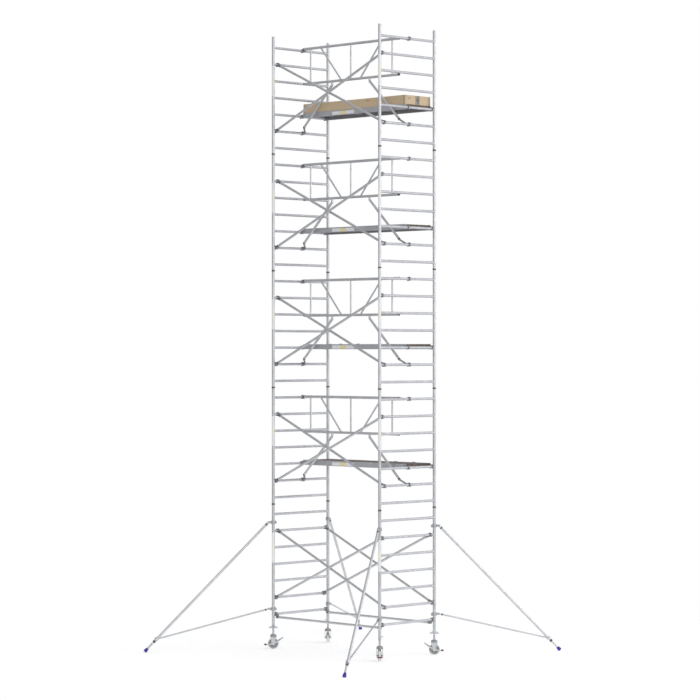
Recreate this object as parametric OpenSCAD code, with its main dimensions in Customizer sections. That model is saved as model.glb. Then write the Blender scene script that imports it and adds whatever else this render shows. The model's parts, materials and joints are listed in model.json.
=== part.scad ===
// Mobile aluminium scaffold tower: stacked ladder frames, hooked braces, hatch platforms,
// guardrails, toe boards, height-adjustable braked castors and swinging stabilisers.
// Millimetres. +Z is up, X runs along the bay and Y along the rungs of the end frames.
// The origin is on the ground, under the middle of the tower.

/* [Tower] */
// Distance between the left and the right stack of end frames, centre to centre
bay_length = 2500; // [2100:10:3000]
// Distance between the two uprights of an end frame, centre to centre
frame_width = 1287; // [1287:1:1500]
// Height of each rung above the one below it
rung_pitch = 280; // [260:1:336]

/* [End frames] */
// Outside diameter of the uprights
upright_d = 50.8; // [48.3:0.1:61]
// Wall thickness of the uprights
upright_wall = 2; // [1.8:0.1:3]
// Outside diameter of the rungs
rung_d = 42; // [35:0.5:50]
// Wall thickness of the rungs
rung_wall = 1.8; // [1.5:0.1:3]
// Length of upright below the lowest rung of a frame
frame_foot = 95; // [80:1:120]
// Depth of the widened socket in the top end of each upright
socket_depth = 150; // [120:1:170]
// How much the socket is wider than the rest of the upright's bore
socket_step = 0.4; // [0.2:0.1:0.8]
// Gap between the spigot and the upright that it is fixed in, on the radius
spigot_clearance = 0.3; // [0.1:0.05:0.5]
// Wall thickness of the spigots
spigot_wall = 3; // [2:0.1:5]
// Diameter of the locking clip's pin
clip_pin_d = 8; // [6:0.5:10]
// Height of the locking clip's band
clip_h = 22; // [15:1:30]

/* [Hooks and braces] */
// Radial clearance between a claw and the rung that it hooks over
claw_clearance = 0.3; // [0.2:0.05:1]
// Thickness of the claw around the rung
claw_wall = 14; // [10:0.5:18]
// Width of a claw along the rung
claw_width = 34; // [25:1:40]
// How far a claw's two legs reach below the middle of the rung
claw_leg = 31; // [28:1:36]
// Outside diameter of the braces
brace_d = 40; // [30:0.5:44]
// Wall thickness of the braces
brace_wall = 1.6; // [1.2:0.1:3]
// Distance from the middle of the uprights to the outer plane of braces
outer_brace_inset = 54; // [54:1:80]
// Distance between the outer and the inner plane of braces
brace_spacing = 50; // [46:1:70]
// How far the horizontal braces hang below the rung that they hook over
horizontal_drop = 50; // [45:1:60]

/* [Guardrails] */
// Outside diameter of the top rail
top_rail_d = 45; // [38:0.5:50]
// Outside diameter of the lower rail
low_rail_d = 42; // [38:0.5:48]
// Outside diameter of the posts and struts
post_d = 28; // [22:0.5:32]
// Outside diameter of the legs
leg_d = 40; // [32:0.5:44]
// Wall thickness of the guardrail tubes
rail_wall = 2; // [1.5:0.1:3]
// Plane of the guardrail, measured along the rungs from the middle of the frames
rail_y = -50; // [-60:1:-35]
// Place of the guardrail's claws along the rungs
rail_hook_y = 43; // [40:1:60]
// Height of the top rail's centre above the middle of its rung
rail_lift = 12; // [0:1:20]
// Drop from the top rail to the lower rail
rail_drop = 590; // [500:1:620]
// Distance of the outer posts from the middle of the rail
post_x = 958; // [900:1:1000]
// Distance of the legs' upper ends from the middle of the rail
leg_x = 440; // [380:1:500]

/* [Platforms] */
// Width of a platform over its two side beams
platform_width = 600; // [560:5:620]
// Distance from the tower's middle plane to the platform's front edge
platform_y = 5; // [2:1:12]
// Height of a side beam
beam_h = 85; // [70:1:100]
// Thickness of a side beam
beam_t = 30; // [25:1:35]
// Wall thickness of the hollow side beams and cross members
beam_wall = 3; // [2:0.1:4]
// How far a side beam reaches below the middle of the rung that carries it
beam_drop = 27; // [20:1:32]
// Thickness of the deck boards and the hatch
deck_t = 12; // [9:0.5:18]
// Length of the hatch
hatch_length = 640; // [600:5:700]
// Length of each of the hatch's two hinges
hinge_length = 60; // [50:1:80]
// Height of the toe boards
toe_h = 150; // [120:1:160]
// Thickness of the toe boards
toe_t = 24; // [18:1:27]

/* [Castors and jacks] */
// Diameter of the wheels
wheel_d = 180; // [150:1:210]
// Width of the tyres
tyre_w = 46; // [40:1:50]
// Thickness of the tyres on the radius
tyre_t = 20; // [14:1:24]
// Diameter of the wheel axle
axle_d = 20; // [16:0.5:22]
// Height of the castor's swivel head
head_h = 40; // [32:1:44]
// Diameter of the castor's swivel head
head_d = 106; // [104:1:116]
// Outside diameter of the threaded spindle
spindle_d = 38; // [34:0.5:40]
// Length of the threaded spindle
spindle_length = 600; // [560:5:700]
// Free spindle between the castor and the nut
jack_opening = 105; // [90:1:150]
// Height of the jack nut below the upright
nut_h = 140; // [120:1:160]
// Running clearance of shafts in their bores, on the radius
running = 0.1; // [0.05:0.01:0.1]

/* [Stabilisers] */
// Height of the upper coupler
upper_coupler_z = 2125; // [2095:1:2145]
// Height of the lower coupler
lower_coupler_z = 670; // [660:1:720]
// Distance from the upright's axis to the pivot where the leg starts
pivot_offset = 83; // [78:1:100]
// Slope of the leg below the horizontal
leg_slope = 45; // [40:1:52]
// Angle between the long side of the tower and the stabiliser
stabiliser_yaw = 60; // [45:1:70]
// Outside diameter of the leg's outer tube
outer_leg_d = 42; // [38:0.5:48]
// Outside diameter of the leg's inner tube
inner_leg_d = 36; // [30:0.5:36]
// Outside diameter of the stabiliser's lower arm
arm_d = 28; // [25:0.5:32]
// Wall thickness of the stabiliser's tubes
stabiliser_wall = 2; // [1.5:0.1:2.5]
// Diameter of the rubber foot
foot_d = 75; // [65:1:85]
// Length of the rubber foot
foot_length = 62; // [50:1:75]
// Length of inner tube left showing above the foot
inner_leg_show = 150; // [100:1:250]
// Height of the coupler clamps
coupler_h = 54; // [45:1:58]
// Thickness of the coupler clamps
coupler_t = 12; // [8:0.5:14]

/* [Hidden] */
$fn = 64;
levels = 5;
rungs = 7;
platform_levels = [2 : levels];
sides = [["left", -1], ["right", 1]];
corners = [["front_left", -1, -1], ["front_right", 1, -1], ["back_left", -1, 1], ["back_right", 1, 1]];

// Which rung of a frame, counted from its bottom, carries what
leg_rung = 2;
brace_low_rung = 2;
platform_rung = 3;
brace_high_rung = 6;
rail_rung = 7;

// Small gaps between pieces that are welded, riveted or plugged together
weld_gap = 0.2;
plug_gap = 0.3;
cut = 1;

// Heights of the castor and the jack
wheel_gap = 20;
head_bottom = wheel_d + wheel_gap;
castor_top = head_bottom + head_h;
nut_bottom = castor_top + jack_opening;
frame_base = nut_bottom + nut_h;

// End frames
half_bay = bay_length / 2;
half_frame = frame_width / 2;
frame_height = rungs * rung_pitch;
upright_id = upright_d - 2 * upright_wall;
socket_d = upright_id + socket_step;
spigot_d = upright_id - 2 * spigot_clearance;
spigot_hold = 130;
spigot_reach = socket_depth - 10;
clip_below_joint = 15;
clip_t = 3;

// Claws, tubes and braces
claw_hole = rung_d / 2 + claw_clearance;
claw_r = claw_hole + claw_wall;
claw_reach = claw_r + 26;
plug_length = 55;
latch_t = 7;
brace_outer_y = half_frame - outer_brace_inset;
brace_inner_y = brace_outer_y - brace_spacing;

// Guardrails
rail_end = half_bay - 130;
low_rail_end = half_bay - 140;
strut_top_x = 720;
strut_low_x = 220;
bend_drop = 62;
leg_end_x = half_bay - 128;
leg_hook_rise = 85;
kink_d = 30;
knuckle = 4;

// Platforms
beam_top = beam_h - beam_drop;
beam_end = half_bay - claw_r - 10;
platform_back = platform_y + platform_width;
deck_top = beam_top - 2;
deck_end = beam_end - 12;
deck_gap = 4;
hatch_start = 330;
member_t = 40;
member_h = 32;
hinge_rise = 7;
hinge_d = 12;
hinge_pin_d = 6;
hinge_y = platform_back - beam_t - 10;
hinge_inset = 110;
lug_t = 8;
toe_end = beam_end - 14;
bracket_w = 90;

// Castors
plate_inner = 45;
plate_t = 5;
kingpin_d = 24;
flange_t = 8;
face_gap = 0.3;
hub_w = 60;
bearing_d = 42;
bearing_w = 14;
axle_z = wheel_d / 2;
pad_x = 133;
pad_z = axle_z - 18;
lever_x = -165;
lever_z = axle_z + 102;
crossbar = [-92, 46];
wing_span = 164;

// Stabilisers, in a plane with the upright's axis at x = 0
foot_end_z = 16;
leg_dir = [cos(leg_slope), 0, -sin(leg_slope)];
pivot = [pivot_offset, 0, upper_coupler_z];
leg_length = (upper_coupler_z - foot_end_z) / sin(leg_slope);
outer_leg_end = leg_length - foot_length - inner_leg_show;
inner_leg_inside = 700;
arm_start = [pivot_offset, 0, lower_coupler_z];
arm_coupler = 0.905 * leg_length;
arm_end = pivot + arm_coupler * leg_dir;

function frame_bottom(level) = frame_base + (level - 1) * frame_height;
function rung_z(level, n) = frame_bottom(level) + frame_foot + (n - 1) * rung_pitch;
function unit(v) = v / norm(v);

// ---- shapes used by several pieces ----

// Moves its children so that their Z axis starts at p and points to q
module aim(p, q) {
    v = q - p;
    translate(p) rotate([0, acos(v.z / norm(v)), atan2(v.y, v.x)]) children();
}

module rod(p, q, d) {
    aim(p, q) cylinder(d = d, h = norm(q - p));
}

module tube(p, q, d, wall) {
    difference() {
        rod(p, q, d);
        rod(p - cut * unit(q - p), q + cut * unit(q - p), d - 2 * wall);
    }
}

module rounded_box(size, r) {
    translate([0, 0, -size.z / 2]) linear_extrude(size.z) {
        square([size.x - 2 * r, size.y], center = true);
        square([size.x, size.y - 2 * r], center = true);
        for (x = [-1, 1], y = [-1, 1])
            translate([x * (size.x / 2 - r), y * (size.y / 2 - r)]) circle(r);
    }
}

// Everything on the far side of the plane through p, in the direction of n
module beyond(p, n) {
    size = 4 * leg_d;
    aim(p, p + n) translate([-size / 2, -size / 2, 0]) cube(size);
}

// The outline of a claw around a rung at the origin, with its mouth open downwards
module claw_outline() {
    difference() {
        union() {
            circle(claw_r);
            translate([-claw_r, -claw_leg]) square([2 * claw_r, claw_leg]);
            children();
        }
        circle(claw_hole);
        translate([-claw_hole, -2 * claw_r]) square([2 * claw_hole, 2 * claw_r]);
    }
}

// Stands a drawing in the X-Z plane, centred on the claw's width
module stand(width) {
    rotate([90, 0, 0]) linear_extrude(width, center = true) children();
}

// The spring latch that closes the claw's mouth under the rung
module latch(width) {
    translate([0, 0, -rung_d / 2 - claw_clearance - latch_t / 2])
        cube([2 * (claw_hole - plug_gap), width - 8, latch_t], center = true);
}

// A claw whose neck and plug point along dir, a direction in the X-Z plane
module straight_claw(dir, plug_d) {
    angle = atan2(dir.z, dir.x);
    difference() {
        union() {
            stand(claw_width) claw_outline()
                rotate(angle) translate([0, -brace_d / 2]) square([claw_reach - weld_gap, brace_d]);
            rod((claw_reach - 10) * dir, (claw_reach + plug_length) * dir, plug_d);
        }
        rotate([90, 0, 0]) cylinder(r = claw_hole, h = 2 * claw_width, center = true);
    }
    latch(claw_width);
}

// A tube from rung to rung, with a claw on each end
module hooked_brace(p, q) {
    dir = unit(q - p);
    plug_d = brace_d - 2 * brace_wall - 2 * plug_gap;
    color("lightsteelblue") tube(p + claw_reach * dir, q - claw_reach * dir, brace_d, brace_wall);
    color("dimgray") translate(p) straight_claw(dir, plug_d);
    color("dimgray") translate(q) straight_claw(-dir, plug_d);
}

// ---- end frames ----

module upright(level) {
    difference() {
        cylinder(d = upright_d, h = frame_height);
        translate([0, 0, -cut]) cylinder(d = upright_id, h = frame_height + 2 * cut);
        translate([0, 0, frame_height - socket_depth]) cylinder(d = socket_d, h = socket_depth + cut);
        clip_hole(frame_height - clip_below_joint);
    }
    if (level < levels) translate([0, 0, frame_height - clip_below_joint]) locking_clip();
    if (level > 1) spigot();
}

module clip_hole(z) {
    translate([0, 0, z]) rotate([0, 90, 0])
        cylinder(d = clip_pin_d + 2 * plug_gap, h = 2 * upright_d, center = true);
}

// Joins a frame to the one below it
module spigot() {
    difference() {
        translate([0, 0, -spigot_reach]) cylinder(d = spigot_d, h = spigot_reach + spigot_hold);
        translate([0, 0, -spigot_reach - cut])
            cylinder(d = spigot_d - 2 * spigot_wall, h = spigot_reach + spigot_hold + 2 * cut);
        clip_hole(-clip_below_joint);
    }
}

// A band around the upright, with the pin that locks the spigot of the frame above
module locking_clip() {
    color("dimgray") {
        difference() {
            cylinder(d = upright_d + 2 * clip_t, h = clip_h, center = true);
            cylinder(d = upright_d + 2 * weld_gap, h = clip_h + 2 * cut, center = true);
        }
        rotate([0, 90, 0]) cylinder(d = clip_pin_d, h = upright_d + 2 * clip_t + 6, center = true);
    }
}

module rung() {
    difference() {
        tube([0, -half_frame, 0], [0, half_frame, 0], rung_d, rung_wall);
        for (end = [-1, 1]) translate([0, end * half_frame, 0])
            cylinder(d = upright_d + 2 * weld_gap, h = 2 * rung_d, center = true);
    }
}

module frame(level, side) {
    color("silver") translate([side * half_bay, 0, 0]) {
        for (end = [-1, 1])
            translate([0, end * half_frame, frame_bottom(level)]) upright(level);
        for (n = [1 : rungs]) translate([0, 0, rung_z(level, n)]) rung();
    }
}

// ---- braces ----

// Braces from a low rung on the side given to a high rung on the other side
module diagonal_brace(level, low_side, y) {
    hooked_brace([low_side * half_bay, y, rung_z(level, brace_low_rung)],
                 [-low_side * half_bay, y, rung_z(level, brace_high_rung)]);
}

module braces_front_rising() {
    for (level = [1 : levels]) diagonal_brace(level, -1, -brace_outer_y);
}

module braces_front_falling() {
    for (level = [1 : levels]) diagonal_brace(level, 1, -brace_inner_y);
}

module braces_back() {
    diagonal_brace(1, 1, brace_outer_y);
    diagonal_brace(1, -1, brace_inner_y);
}

// The claw of a horizontal brace: its plug lies below the rung
module dropped_claw(plug_d) {
    neck = claw_reach - claw_hole - weld_gap;
    stand(claw_width) claw_outline() translate([claw_hole, -horizontal_drop - brace_d / 2])
        square([neck, horizontal_drop + brace_d / 2 + 8]);
    rod([claw_reach - 10, 0, -horizontal_drop], [claw_reach + plug_length, 0, -horizontal_drop], plug_d);
    latch(claw_width);
}

module horizontal_braces() {
    plug_d = brace_d - 2 * brace_wall - 2 * plug_gap;
    z = rung_z(1, 1);
    for (side = [-1, 1]) translate([0, side * brace_outer_y, 0]) {
        color("lightsteelblue")
            tube([claw_reach - half_bay, 0, z - horizontal_drop],
                 [half_bay - claw_reach, 0, z - horizontal_drop], brace_d, brace_wall);
        color("dimgray") for (turn = [0, 180])
            rotate([0, 0, turn]) translate([-half_bay, 0, z]) dropped_claw(plug_d);
    }
}

// ---- guardrails ----

// A tube between two points, cut to sit on the two tubes that its ends meet
module rail_strut(p, q, d, d_p, d_q) {
    difference() {
        tube(p, q, d, rail_wall);
        rod(p - [half_bay, 0, 0], p + [half_bay, 0, 0], d_p + 2 * weld_gap);
        rod(q - [half_bay, 0, 0], q + [half_bay, 0, 0], d_q + 2 * weld_gap);
    }
}

// A claw on its rung, a kinked neck and the plug that holds the end of a guardrail tube
module kinked_claw(hook, neck, end, plug_dir, plug_d) {
    difference() {
        union() {
            translate(hook) stand(claw_width) claw_outline();
            rod(hook, neck, kink_d);
            translate(neck) sphere(d = kink_d + knuckle);
            rod(neck, end, kink_d);
            translate(end) sphere(d = kink_d + knuckle);
            rod(end, end + plug_length * plug_dir, plug_d);
        }
        translate(hook) {
            rotate([90, 0, 0]) cylinder(r = claw_hole, h = 2 * claw_width, center = true);
            translate([0, 0, -claw_r]) cube([2 * claw_hole, 2 * claw_width, 2 * claw_r], center = true);
        }
    }
    translate(hook) latch(claw_width);
}

// The half of a guardrail on the right, with its top rail's centre at height zt
module guardrail_half(zt, z_leg_hook) {
    zl = zt - rail_drop;
    bend = [leg_x, 0, zl - bend_drop];
    leg_end = [leg_end_x, 0, z_leg_hook + leg_hook_rise];
    down = unit(leg_end - bend);
    mitre = unit(down - [0, 0, 1]);
    hook_y = rail_hook_y - rail_y;
    color("lightsteelblue") {
        rail_strut([post_x, 0, zt], [post_x, 0, zl], post_d, top_rail_d, low_rail_d);
        rail_strut([strut_top_x, 0, zt], [strut_low_x, 0, zl], post_d, top_rail_d, low_rail_d);
        difference() {
            tube([leg_x, 0, zl], bend - [0, 0, leg_d], leg_d, rail_wall);
            rod([0, 0, zl], [half_bay, 0, zl], low_rail_d + 2 * weld_gap);
            beyond(bend, mitre);
        }
        difference() {
            tube(bend - leg_d * down, leg_end, leg_d, rail_wall);
            beyond(bend + weld_gap * mitre, -mitre);
        }
    }
    color("dimgray") {
        kinked_claw([half_bay, hook_y, zt - rail_lift], [half_bay - 62, hook_y, zt - rail_lift],
                    [rail_end + 6, 0, zt], [-1, 0, 0], top_rail_d - 2 * rail_wall - 2 * plug_gap);
        kinked_claw([half_bay, hook_y, z_leg_hook], [half_bay - 58, hook_y, z_leg_hook + 12],
                    leg_end + 4 * down, -down, leg_d - 2 * rail_wall - 2 * plug_gap);
        rod([low_rail_end + weld_gap, 0, zl], [low_rail_end + 8, 0, zl], low_rail_d);
        rod([low_rail_end - 40, 0, zl], [low_rail_end + 8, 0, zl], low_rail_d - 2 * rail_wall - 2 * plug_gap);
    }
}

module guardrail(level) {
    zt = rung_z(level, rail_rung) + rail_lift;
    zl = zt - rail_drop;
    translate([0, rail_y, 0]) {
        color("lightsteelblue") {
            tube([-rail_end, 0, zt], [rail_end, 0, zt], top_rail_d, rail_wall);
            tube([-low_rail_end, 0, zl], [low_rail_end, 0, zl], low_rail_d, rail_wall);
            rail_strut([0, 0, zt], [0, 0, zl], post_d, top_rail_d, low_rail_d);
        }
        for (side = [0, 1]) mirror([side, 0, 0]) guardrail_half(zt, rung_z(level, leg_rung));
    }
}

// ---- platforms ----

// The hatch lies on the right half of even platforms and on the left half of odd ones
function hatch_side(level) = level % 2 == 0 ? 1 : -1;

module box_beam(size) {
    difference() {
        cube(size, center = true);
        cube([for (axis = [0 : 2]) size[axis] == max(size) ? size[axis] + cut : size[axis] - 2 * beam_wall],
             center = true);
    }
}

// A hook over the end rung, with a tongue inside the side beam
module platform_hook() {
    neck = half_bay - beam_end - weld_gap;
    tongue_h = beam_h - 2 * beam_wall - 2 * plug_gap;
    stand(beam_t) claw_outline() translate([-neck, -beam_drop]) square([neck - claw_hole, claw_r + beam_drop]);
    translate([-neck - 60, -beam_t / 2 + beam_wall + plug_gap, -beam_drop + beam_wall + plug_gap])
        cube([60, beam_t - 2 * beam_wall - 2 * plug_gap, claw_r - beam_wall + beam_drop - plug_gap]);
    latch(beam_t);
}

// Two lugs and the pin between them, on the inner face of the back beam
module hinge_lugs() {
    for (end = [-1, 1]) translate([end * (hinge_length / 2 - lug_t / 2), 0, 0])
        translate([-lug_t / 2, -hinge_d / 2, -hinge_d / 2])
            cube([lug_t, platform_back - beam_t - hinge_y + hinge_d / 2 - weld_gap, hinge_d]);
    rotate([0, 90, 0]) cylinder(d = hinge_pin_d, h = hinge_length, center = true);
}

module at_hinges(level) {
    for (x = [hatch_start + hinge_inset, hatch_start + hatch_length - hinge_inset])
        translate([hatch_side(level) * x, hinge_y, deck_top + hinge_rise]) children();
}

module platform_frame(level) {
    inner_width = platform_width - 2 * beam_t;
    middle_y = platform_y + platform_width / 2;
    member_z = deck_top - deck_t - member_h / 2;
    edge = hatch_side(level);
    translate([0, 0, rung_z(level, platform_rung)]) {
        color("silver") {
            for (y = [platform_y + beam_t / 2, platform_back - beam_t / 2])
                translate([0, y, beam_top - beam_h / 2]) box_beam([2 * beam_end, beam_t, beam_h]);
            for (x = [-deck_end + member_t / 2, -edge * 430, edge * hatch_start,
                      edge * (hatch_start + hatch_length), deck_end - member_t / 2])
                translate([x, middle_y, member_z])
                    box_beam([member_t, inner_width - 2 * weld_gap, member_h]);
            at_hinges(level) hinge_lugs();
        }
        color("dimgray") for (y = [platform_y + beam_t / 2, platform_back - beam_t / 2], side = [0, 1])
            mirror([side, 0, 0]) translate([half_bay, y, 0]) platform_hook();
    }
}

module deck_board(x0, x1, y0, y1) {
    translate([min(x0, x1), y0, deck_top - deck_t]) cube([abs(x1 - x0), y1 - y0, deck_t]);
}

module platform_deck(level) {
    edge = hatch_side(level);
    y0 = platform_y + beam_t + weld_gap;
    y1 = platform_back - beam_t - weld_gap;
    color("saddlebrown") translate([0, 0, rung_z(level, platform_rung)]) {
        deck_board(-edge * deck_end, edge * (hatch_start - deck_gap / 2), y0, y1);
        deck_board(edge * (hatch_start + hatch_length + deck_gap / 2), edge * deck_end, y0, y1);
    }
}

module hatch(level) {
    edge = hatch_side(level);
    x0 = hatch_start + deck_gap / 2;
    x1 = hatch_start + hatch_length - deck_gap / 2;
    knuckle_w = hinge_length - 2 * lug_t - 4;
    tongue = 36;
    translate([0, 0, rung_z(level, platform_rung)]) {
        color("saddlebrown")
            deck_board(edge * x0, edge * x1, platform_y + beam_t + deck_gap, hinge_y - hinge_d / 2 - deck_gap);
        color("silver") at_hinges(level) difference() {
            union() {
                rotate([0, 90, 0]) cylinder(d = hinge_d, h = knuckle_w, center = true);
                translate([-knuckle_w / 2, -tongue, weld_gap - hinge_rise]) cube([knuckle_w, tongue, 3]);
            }
            rotate([0, 90, 0]) cylinder(d = hinge_pin_d + 2 * running, h = knuckle_w + cut, center = true);
        }
    }
}

// ---- toe boards, on the top platform ----

module toe_boards_long() {
    color("tan") for (y = [platform_y + 3, platform_back - 3 - toe_t])
        translate([-toe_end, y, rung_z(levels, platform_rung) + beam_top + weld_gap])
            cube([2 * toe_end, toe_t, toe_h]);
}

module toe_boards_end() {
    y0 = platform_y + 3 + toe_t + weld_gap;
    y1 = platform_back - 3 - toe_t - weld_gap;
    for (side = [0, 1]) mirror([side, 0, 0])
        translate([toe_end, 0, rung_z(levels, platform_rung) + beam_top + weld_gap]) {
            color("tan") translate([-toe_t, y0, 0]) cube([toe_t, y1 - y0, toe_h]);
            color("silver") translate([weld_gap, (y0 + y1 - bracket_w) / 2, 8])
                cube([4, bracket_w, toe_h - 16]);
            color("dimgray") for (y = [0, 1]) translate([0, platform_y + platform_width / 2, 0])
                mirror([0, y, 0]) translate([0, platform_width / 2 - 3, 3]) corner_clip();
        }
}

// An angle around the outer corner of two toe boards
module corner_clip() {
    t = 2.5;
    leg = 40;
    translate([weld_gap, -leg, 0]) cube([t, leg + weld_gap + t, toe_h - 6]);
    translate([-leg, weld_gap, 0]) cube([leg + weld_gap + t, t, toe_h - 6]);
}

// ---- castors and jacks, each in a frame with the upright's axis at the origin ----

module jack_spindle() {
    color("darkgray") difference() {
        union() {
            translate([0, 0, castor_top + face_gap]) {
                cylinder(d = spindle_d, h = spindle_length);
                cylinder(d = spindle_d + 26, h = flange_t);
            }
            translate([0, 0, head_bottom - 12]) cylinder(d = kingpin_d, h = head_h + 20);
            translate([0, 0, head_bottom - 12]) cylinder(d = kingpin_d + 16, h = 12 - face_gap);
        }
        translate([0, 0, castor_top + flange_t + 10]) cylinder(d = spindle_d - 10, h = spindle_length);
    }
}

module jack_nut() {
    collar_h = 36;
    color("gray") difference() {
        union() {
            translate([0, 0, nut_bottom]) cylinder(d = upright_d, h = nut_h - face_gap);
            translate([0, 0, nut_bottom]) cylinder(d = upright_id - 2 * plug_gap, h = nut_h + collar_h);
            translate([0, 0, nut_bottom + 6]) rounded_box([wing_span, 24, 12], 11);
        }
        translate([0, 0, nut_bottom - cut])
            cylinder(d = spindle_d + 2 * running, h = nut_h + collar_h + 2 * cut);
    }
}

// The rounded head, drawn as half of its section
module head_section() {
    round_r = 16;
    r = head_d / 2;
    translate([0, 0]) square([r, head_h - round_r]);
    square([r - round_r, head_h]);
    intersection() {
        translate([r - round_r, head_h - round_r]) circle(round_r);
        square([r, head_h]);
    }
}

module fork_plate() {
    eye_r = 25;
    top = head_bottom + 12;
    rotate([90, 0, 0]) linear_extrude(plate_t) difference() {
        union() {
            translate([0, axle_z]) circle(eye_r);
            polygon([[-eye_r, axle_z], [eye_r, axle_z], [head_d / 2 - 4, head_bottom - 24],
                     [head_d / 2 - 4, top], [4 - head_d / 2, top], [4 - head_d / 2, head_bottom - 24]]);
        }
        translate([0, axle_z]) circle(d = axle_d + 2 * weld_gap);
    }
}

module castor_fork() {
    color("darkgray") {
        difference() {
            union() {
                translate([0, 0, head_bottom]) rotate_extrude() head_section();
                for (side = [-1, 1])
                    translate([0, side * (plate_inner + plate_t / 2) + plate_t / 2, 0]) fork_plate();
            }
            translate([0, 0, head_bottom - cut])
                cylinder(d = kingpin_d + 2 * running, h = head_h + 2 * cut);
        }
        axle_bolt();
    }
}

module axle_bolt() {
    half = plate_inner + plate_t;
    translate([0, 0, axle_z]) rotate([90, 0, 0]) {
        cylinder(d = axle_d, h = 2 * half + 8, center = true);
        for (side = [0, 1]) mirror([0, 0, side]) translate([0, 0, half + weld_gap])
            cylinder(d = axle_d + 12, h = 8, $fn = 6);
    }
}

module castor_wheel() {
    rim_r = wheel_d / 2 - tyre_t;
    edge_r = 8;
    translate([0, 0, axle_z]) rotate([90, 0, 0]) {
        color("dimgray") rotate_extrude() {
            translate([rim_r, -tyre_w / 2]) square([tyre_t - edge_r, tyre_w]);
            translate([rim_r, edge_r - tyre_w / 2]) square([tyre_t, tyre_w - 2 * edge_r]);
            for (y = [-1, 1]) translate([wheel_d / 2 - edge_r, y * (tyre_w / 2 - edge_r)]) circle(edge_r);
        }
        color("gray") rotate_extrude() {
            translate([bearing_d / 2 + weld_gap, -hub_w / 2]) square([8, hub_w]);
            translate([bearing_d / 2 + 4, -6]) square([rim_r - bearing_d / 2 - 8, 12]);
            translate([rim_r - 8, 3 - tyre_w / 2]) square([8 - weld_gap, tyre_w - 6]);
        }
        color("silver") for (side = [-1, 1]) translate([0, 0, side * (hub_w - bearing_w) / 2])
            difference() {
                cylinder(d = bearing_d, h = bearing_w, center = true);
                cylinder(d = axle_d + 2 * running, h = bearing_w + cut, center = true);
            }
    }
}

// One side of the rocker that turns on the axle: pedal end outwards, release lever inwards
module rocker_plate() {
    t = 4;
    eye_r = 19;
    rotate([90, 0, 0]) linear_extrude(t) difference() {
        union() {
            translate([0, axle_z]) circle(eye_r);
            polygon([[0, axle_z + eye_r], [0, axle_z - eye_r], [pad_x - 19, pad_z - 14],
                     [pad_x + 15, pad_z - 14], [pad_x + 15, pad_z - 6], [pad_x - 19, pad_z - 6]]);
            polygon([[0, axle_z + eye_r], [-12, axle_z - 14], [crossbar.x - 8, axle_z + crossbar.y - 4],
                     [crossbar.x, axle_z + crossbar.y + 10]]);
        }
        translate([0, axle_z]) circle(d = axle_d + 2 * running);
    }
}

module brake_lever() {
    plate_y = plate_inner - 11;
    tip = [lever_x, 0, lever_z];
    root = [crossbar.x, 0, axle_z + crossbar.y];
    color("gray") {
        for (y = [plate_y + 4, -plate_y]) translate([0, y, 0]) rocker_plate();
        aim(root, tip) translate([-3, -18, 0]) cube([6, 36, norm(tip - root)]);
        rod(root - [0, plate_y - weld_gap, 0], root + [0, plate_y - weld_gap, 0], 8);
    }
    color("firebrick") translate([pad_x, 0, pad_z + weld_gap]) rounded_box([34, 88, 12], 6);
}

// Puts a castor on its corner, with its pedal pointing away from the tower
module castor_place(corner) {
    translate([corner[1] * half_bay, corner[2] * half_frame, 0])
        rotate([0, 0, atan2(corner[2], corner[1])]) children();
}

// ---- stabilisers ----

// A split clamp around a tube that stands on Z, with an ear towards +X and a wing bolt opposite
module coupler(bore_d, height, ear) {
    r = bore_d / 2 + coupler_t;
    bolt_x = -r - 9;
    difference() {
        union() {
            cylinder(r = r, h = height, center = true);
            translate([ear / 2, 0, 0]) cube([ear, 22, height - 14], center = true);
            translate([bolt_x / 2, 0, 0]) cube([-bolt_x + 10, 26, height - 22], center = true);
        }
        cylinder(d = bore_d, h = height + cut, center = true);
        translate([-2 * r, 0, 0]) cube([4 * r, 4, height + cut], center = true);
        translate([bolt_x, 0, 0]) rotate([90, 0, 0]) cylinder(d = 10.4, h = 60, center = true);
    }
    translate([bolt_x, 0, 0]) rotate([90, 0, 0]) {
        cylinder(d = 10, h = 46, center = true);
        translate([0, 0, 13 + weld_gap]) cylinder(d = 26, h = 10);
        translate([0, 0, -13 - weld_gap - 8]) cylinder(d = 18, h = 8, $fn = 6);
    }
}

module stabiliser() {
    bore = upright_d + 2 * running;
    arm_dir = unit(arm_end - arm_start);
    leg_plug = outer_leg_d - 2 * stabiliser_wall - 2 * plug_gap;
    arm_plug = arm_d - 2 * stabiliser_wall - 2 * plug_gap;
    leg_start = 40;
    arm_gap = 80;
    color("gray") {
        translate([0, 0, upper_coupler_z]) coupler(bore, coupler_h, pivot_offset - 12);
        translate([0, 0, lower_coupler_z]) coupler(bore, coupler_h, pivot_offset - 12);
        stabiliser_joint(pivot, leg_dir, leg_plug, leg_start);
        stabiliser_joint(arm_start, arm_dir, arm_plug, leg_start);
        leg_clamp(arm_dir, arm_plug, arm_gap);
    }
    color("lightsteelblue") {
        tube(pivot + leg_start * leg_dir, pivot + outer_leg_end * leg_dir, outer_leg_d, stabiliser_wall);
        tube(arm_start + leg_start * arm_dir, arm_end - arm_gap * arm_dir, arm_d, stabiliser_wall);
    }
}

// An eye beside the coupler's ear, with the plug that carries the tube
module stabiliser_joint(p, dir, plug_d, reach) {
    translate(p) {
        rotate([90, 0, 0]) cylinder(d = 34, h = 24, center = true);
        rotate([90, 0, 0]) cylinder(d = 12, h = 44, center = true);
    }
    rod(p, p + (reach + plug_length) * dir, plug_d);
}

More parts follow.
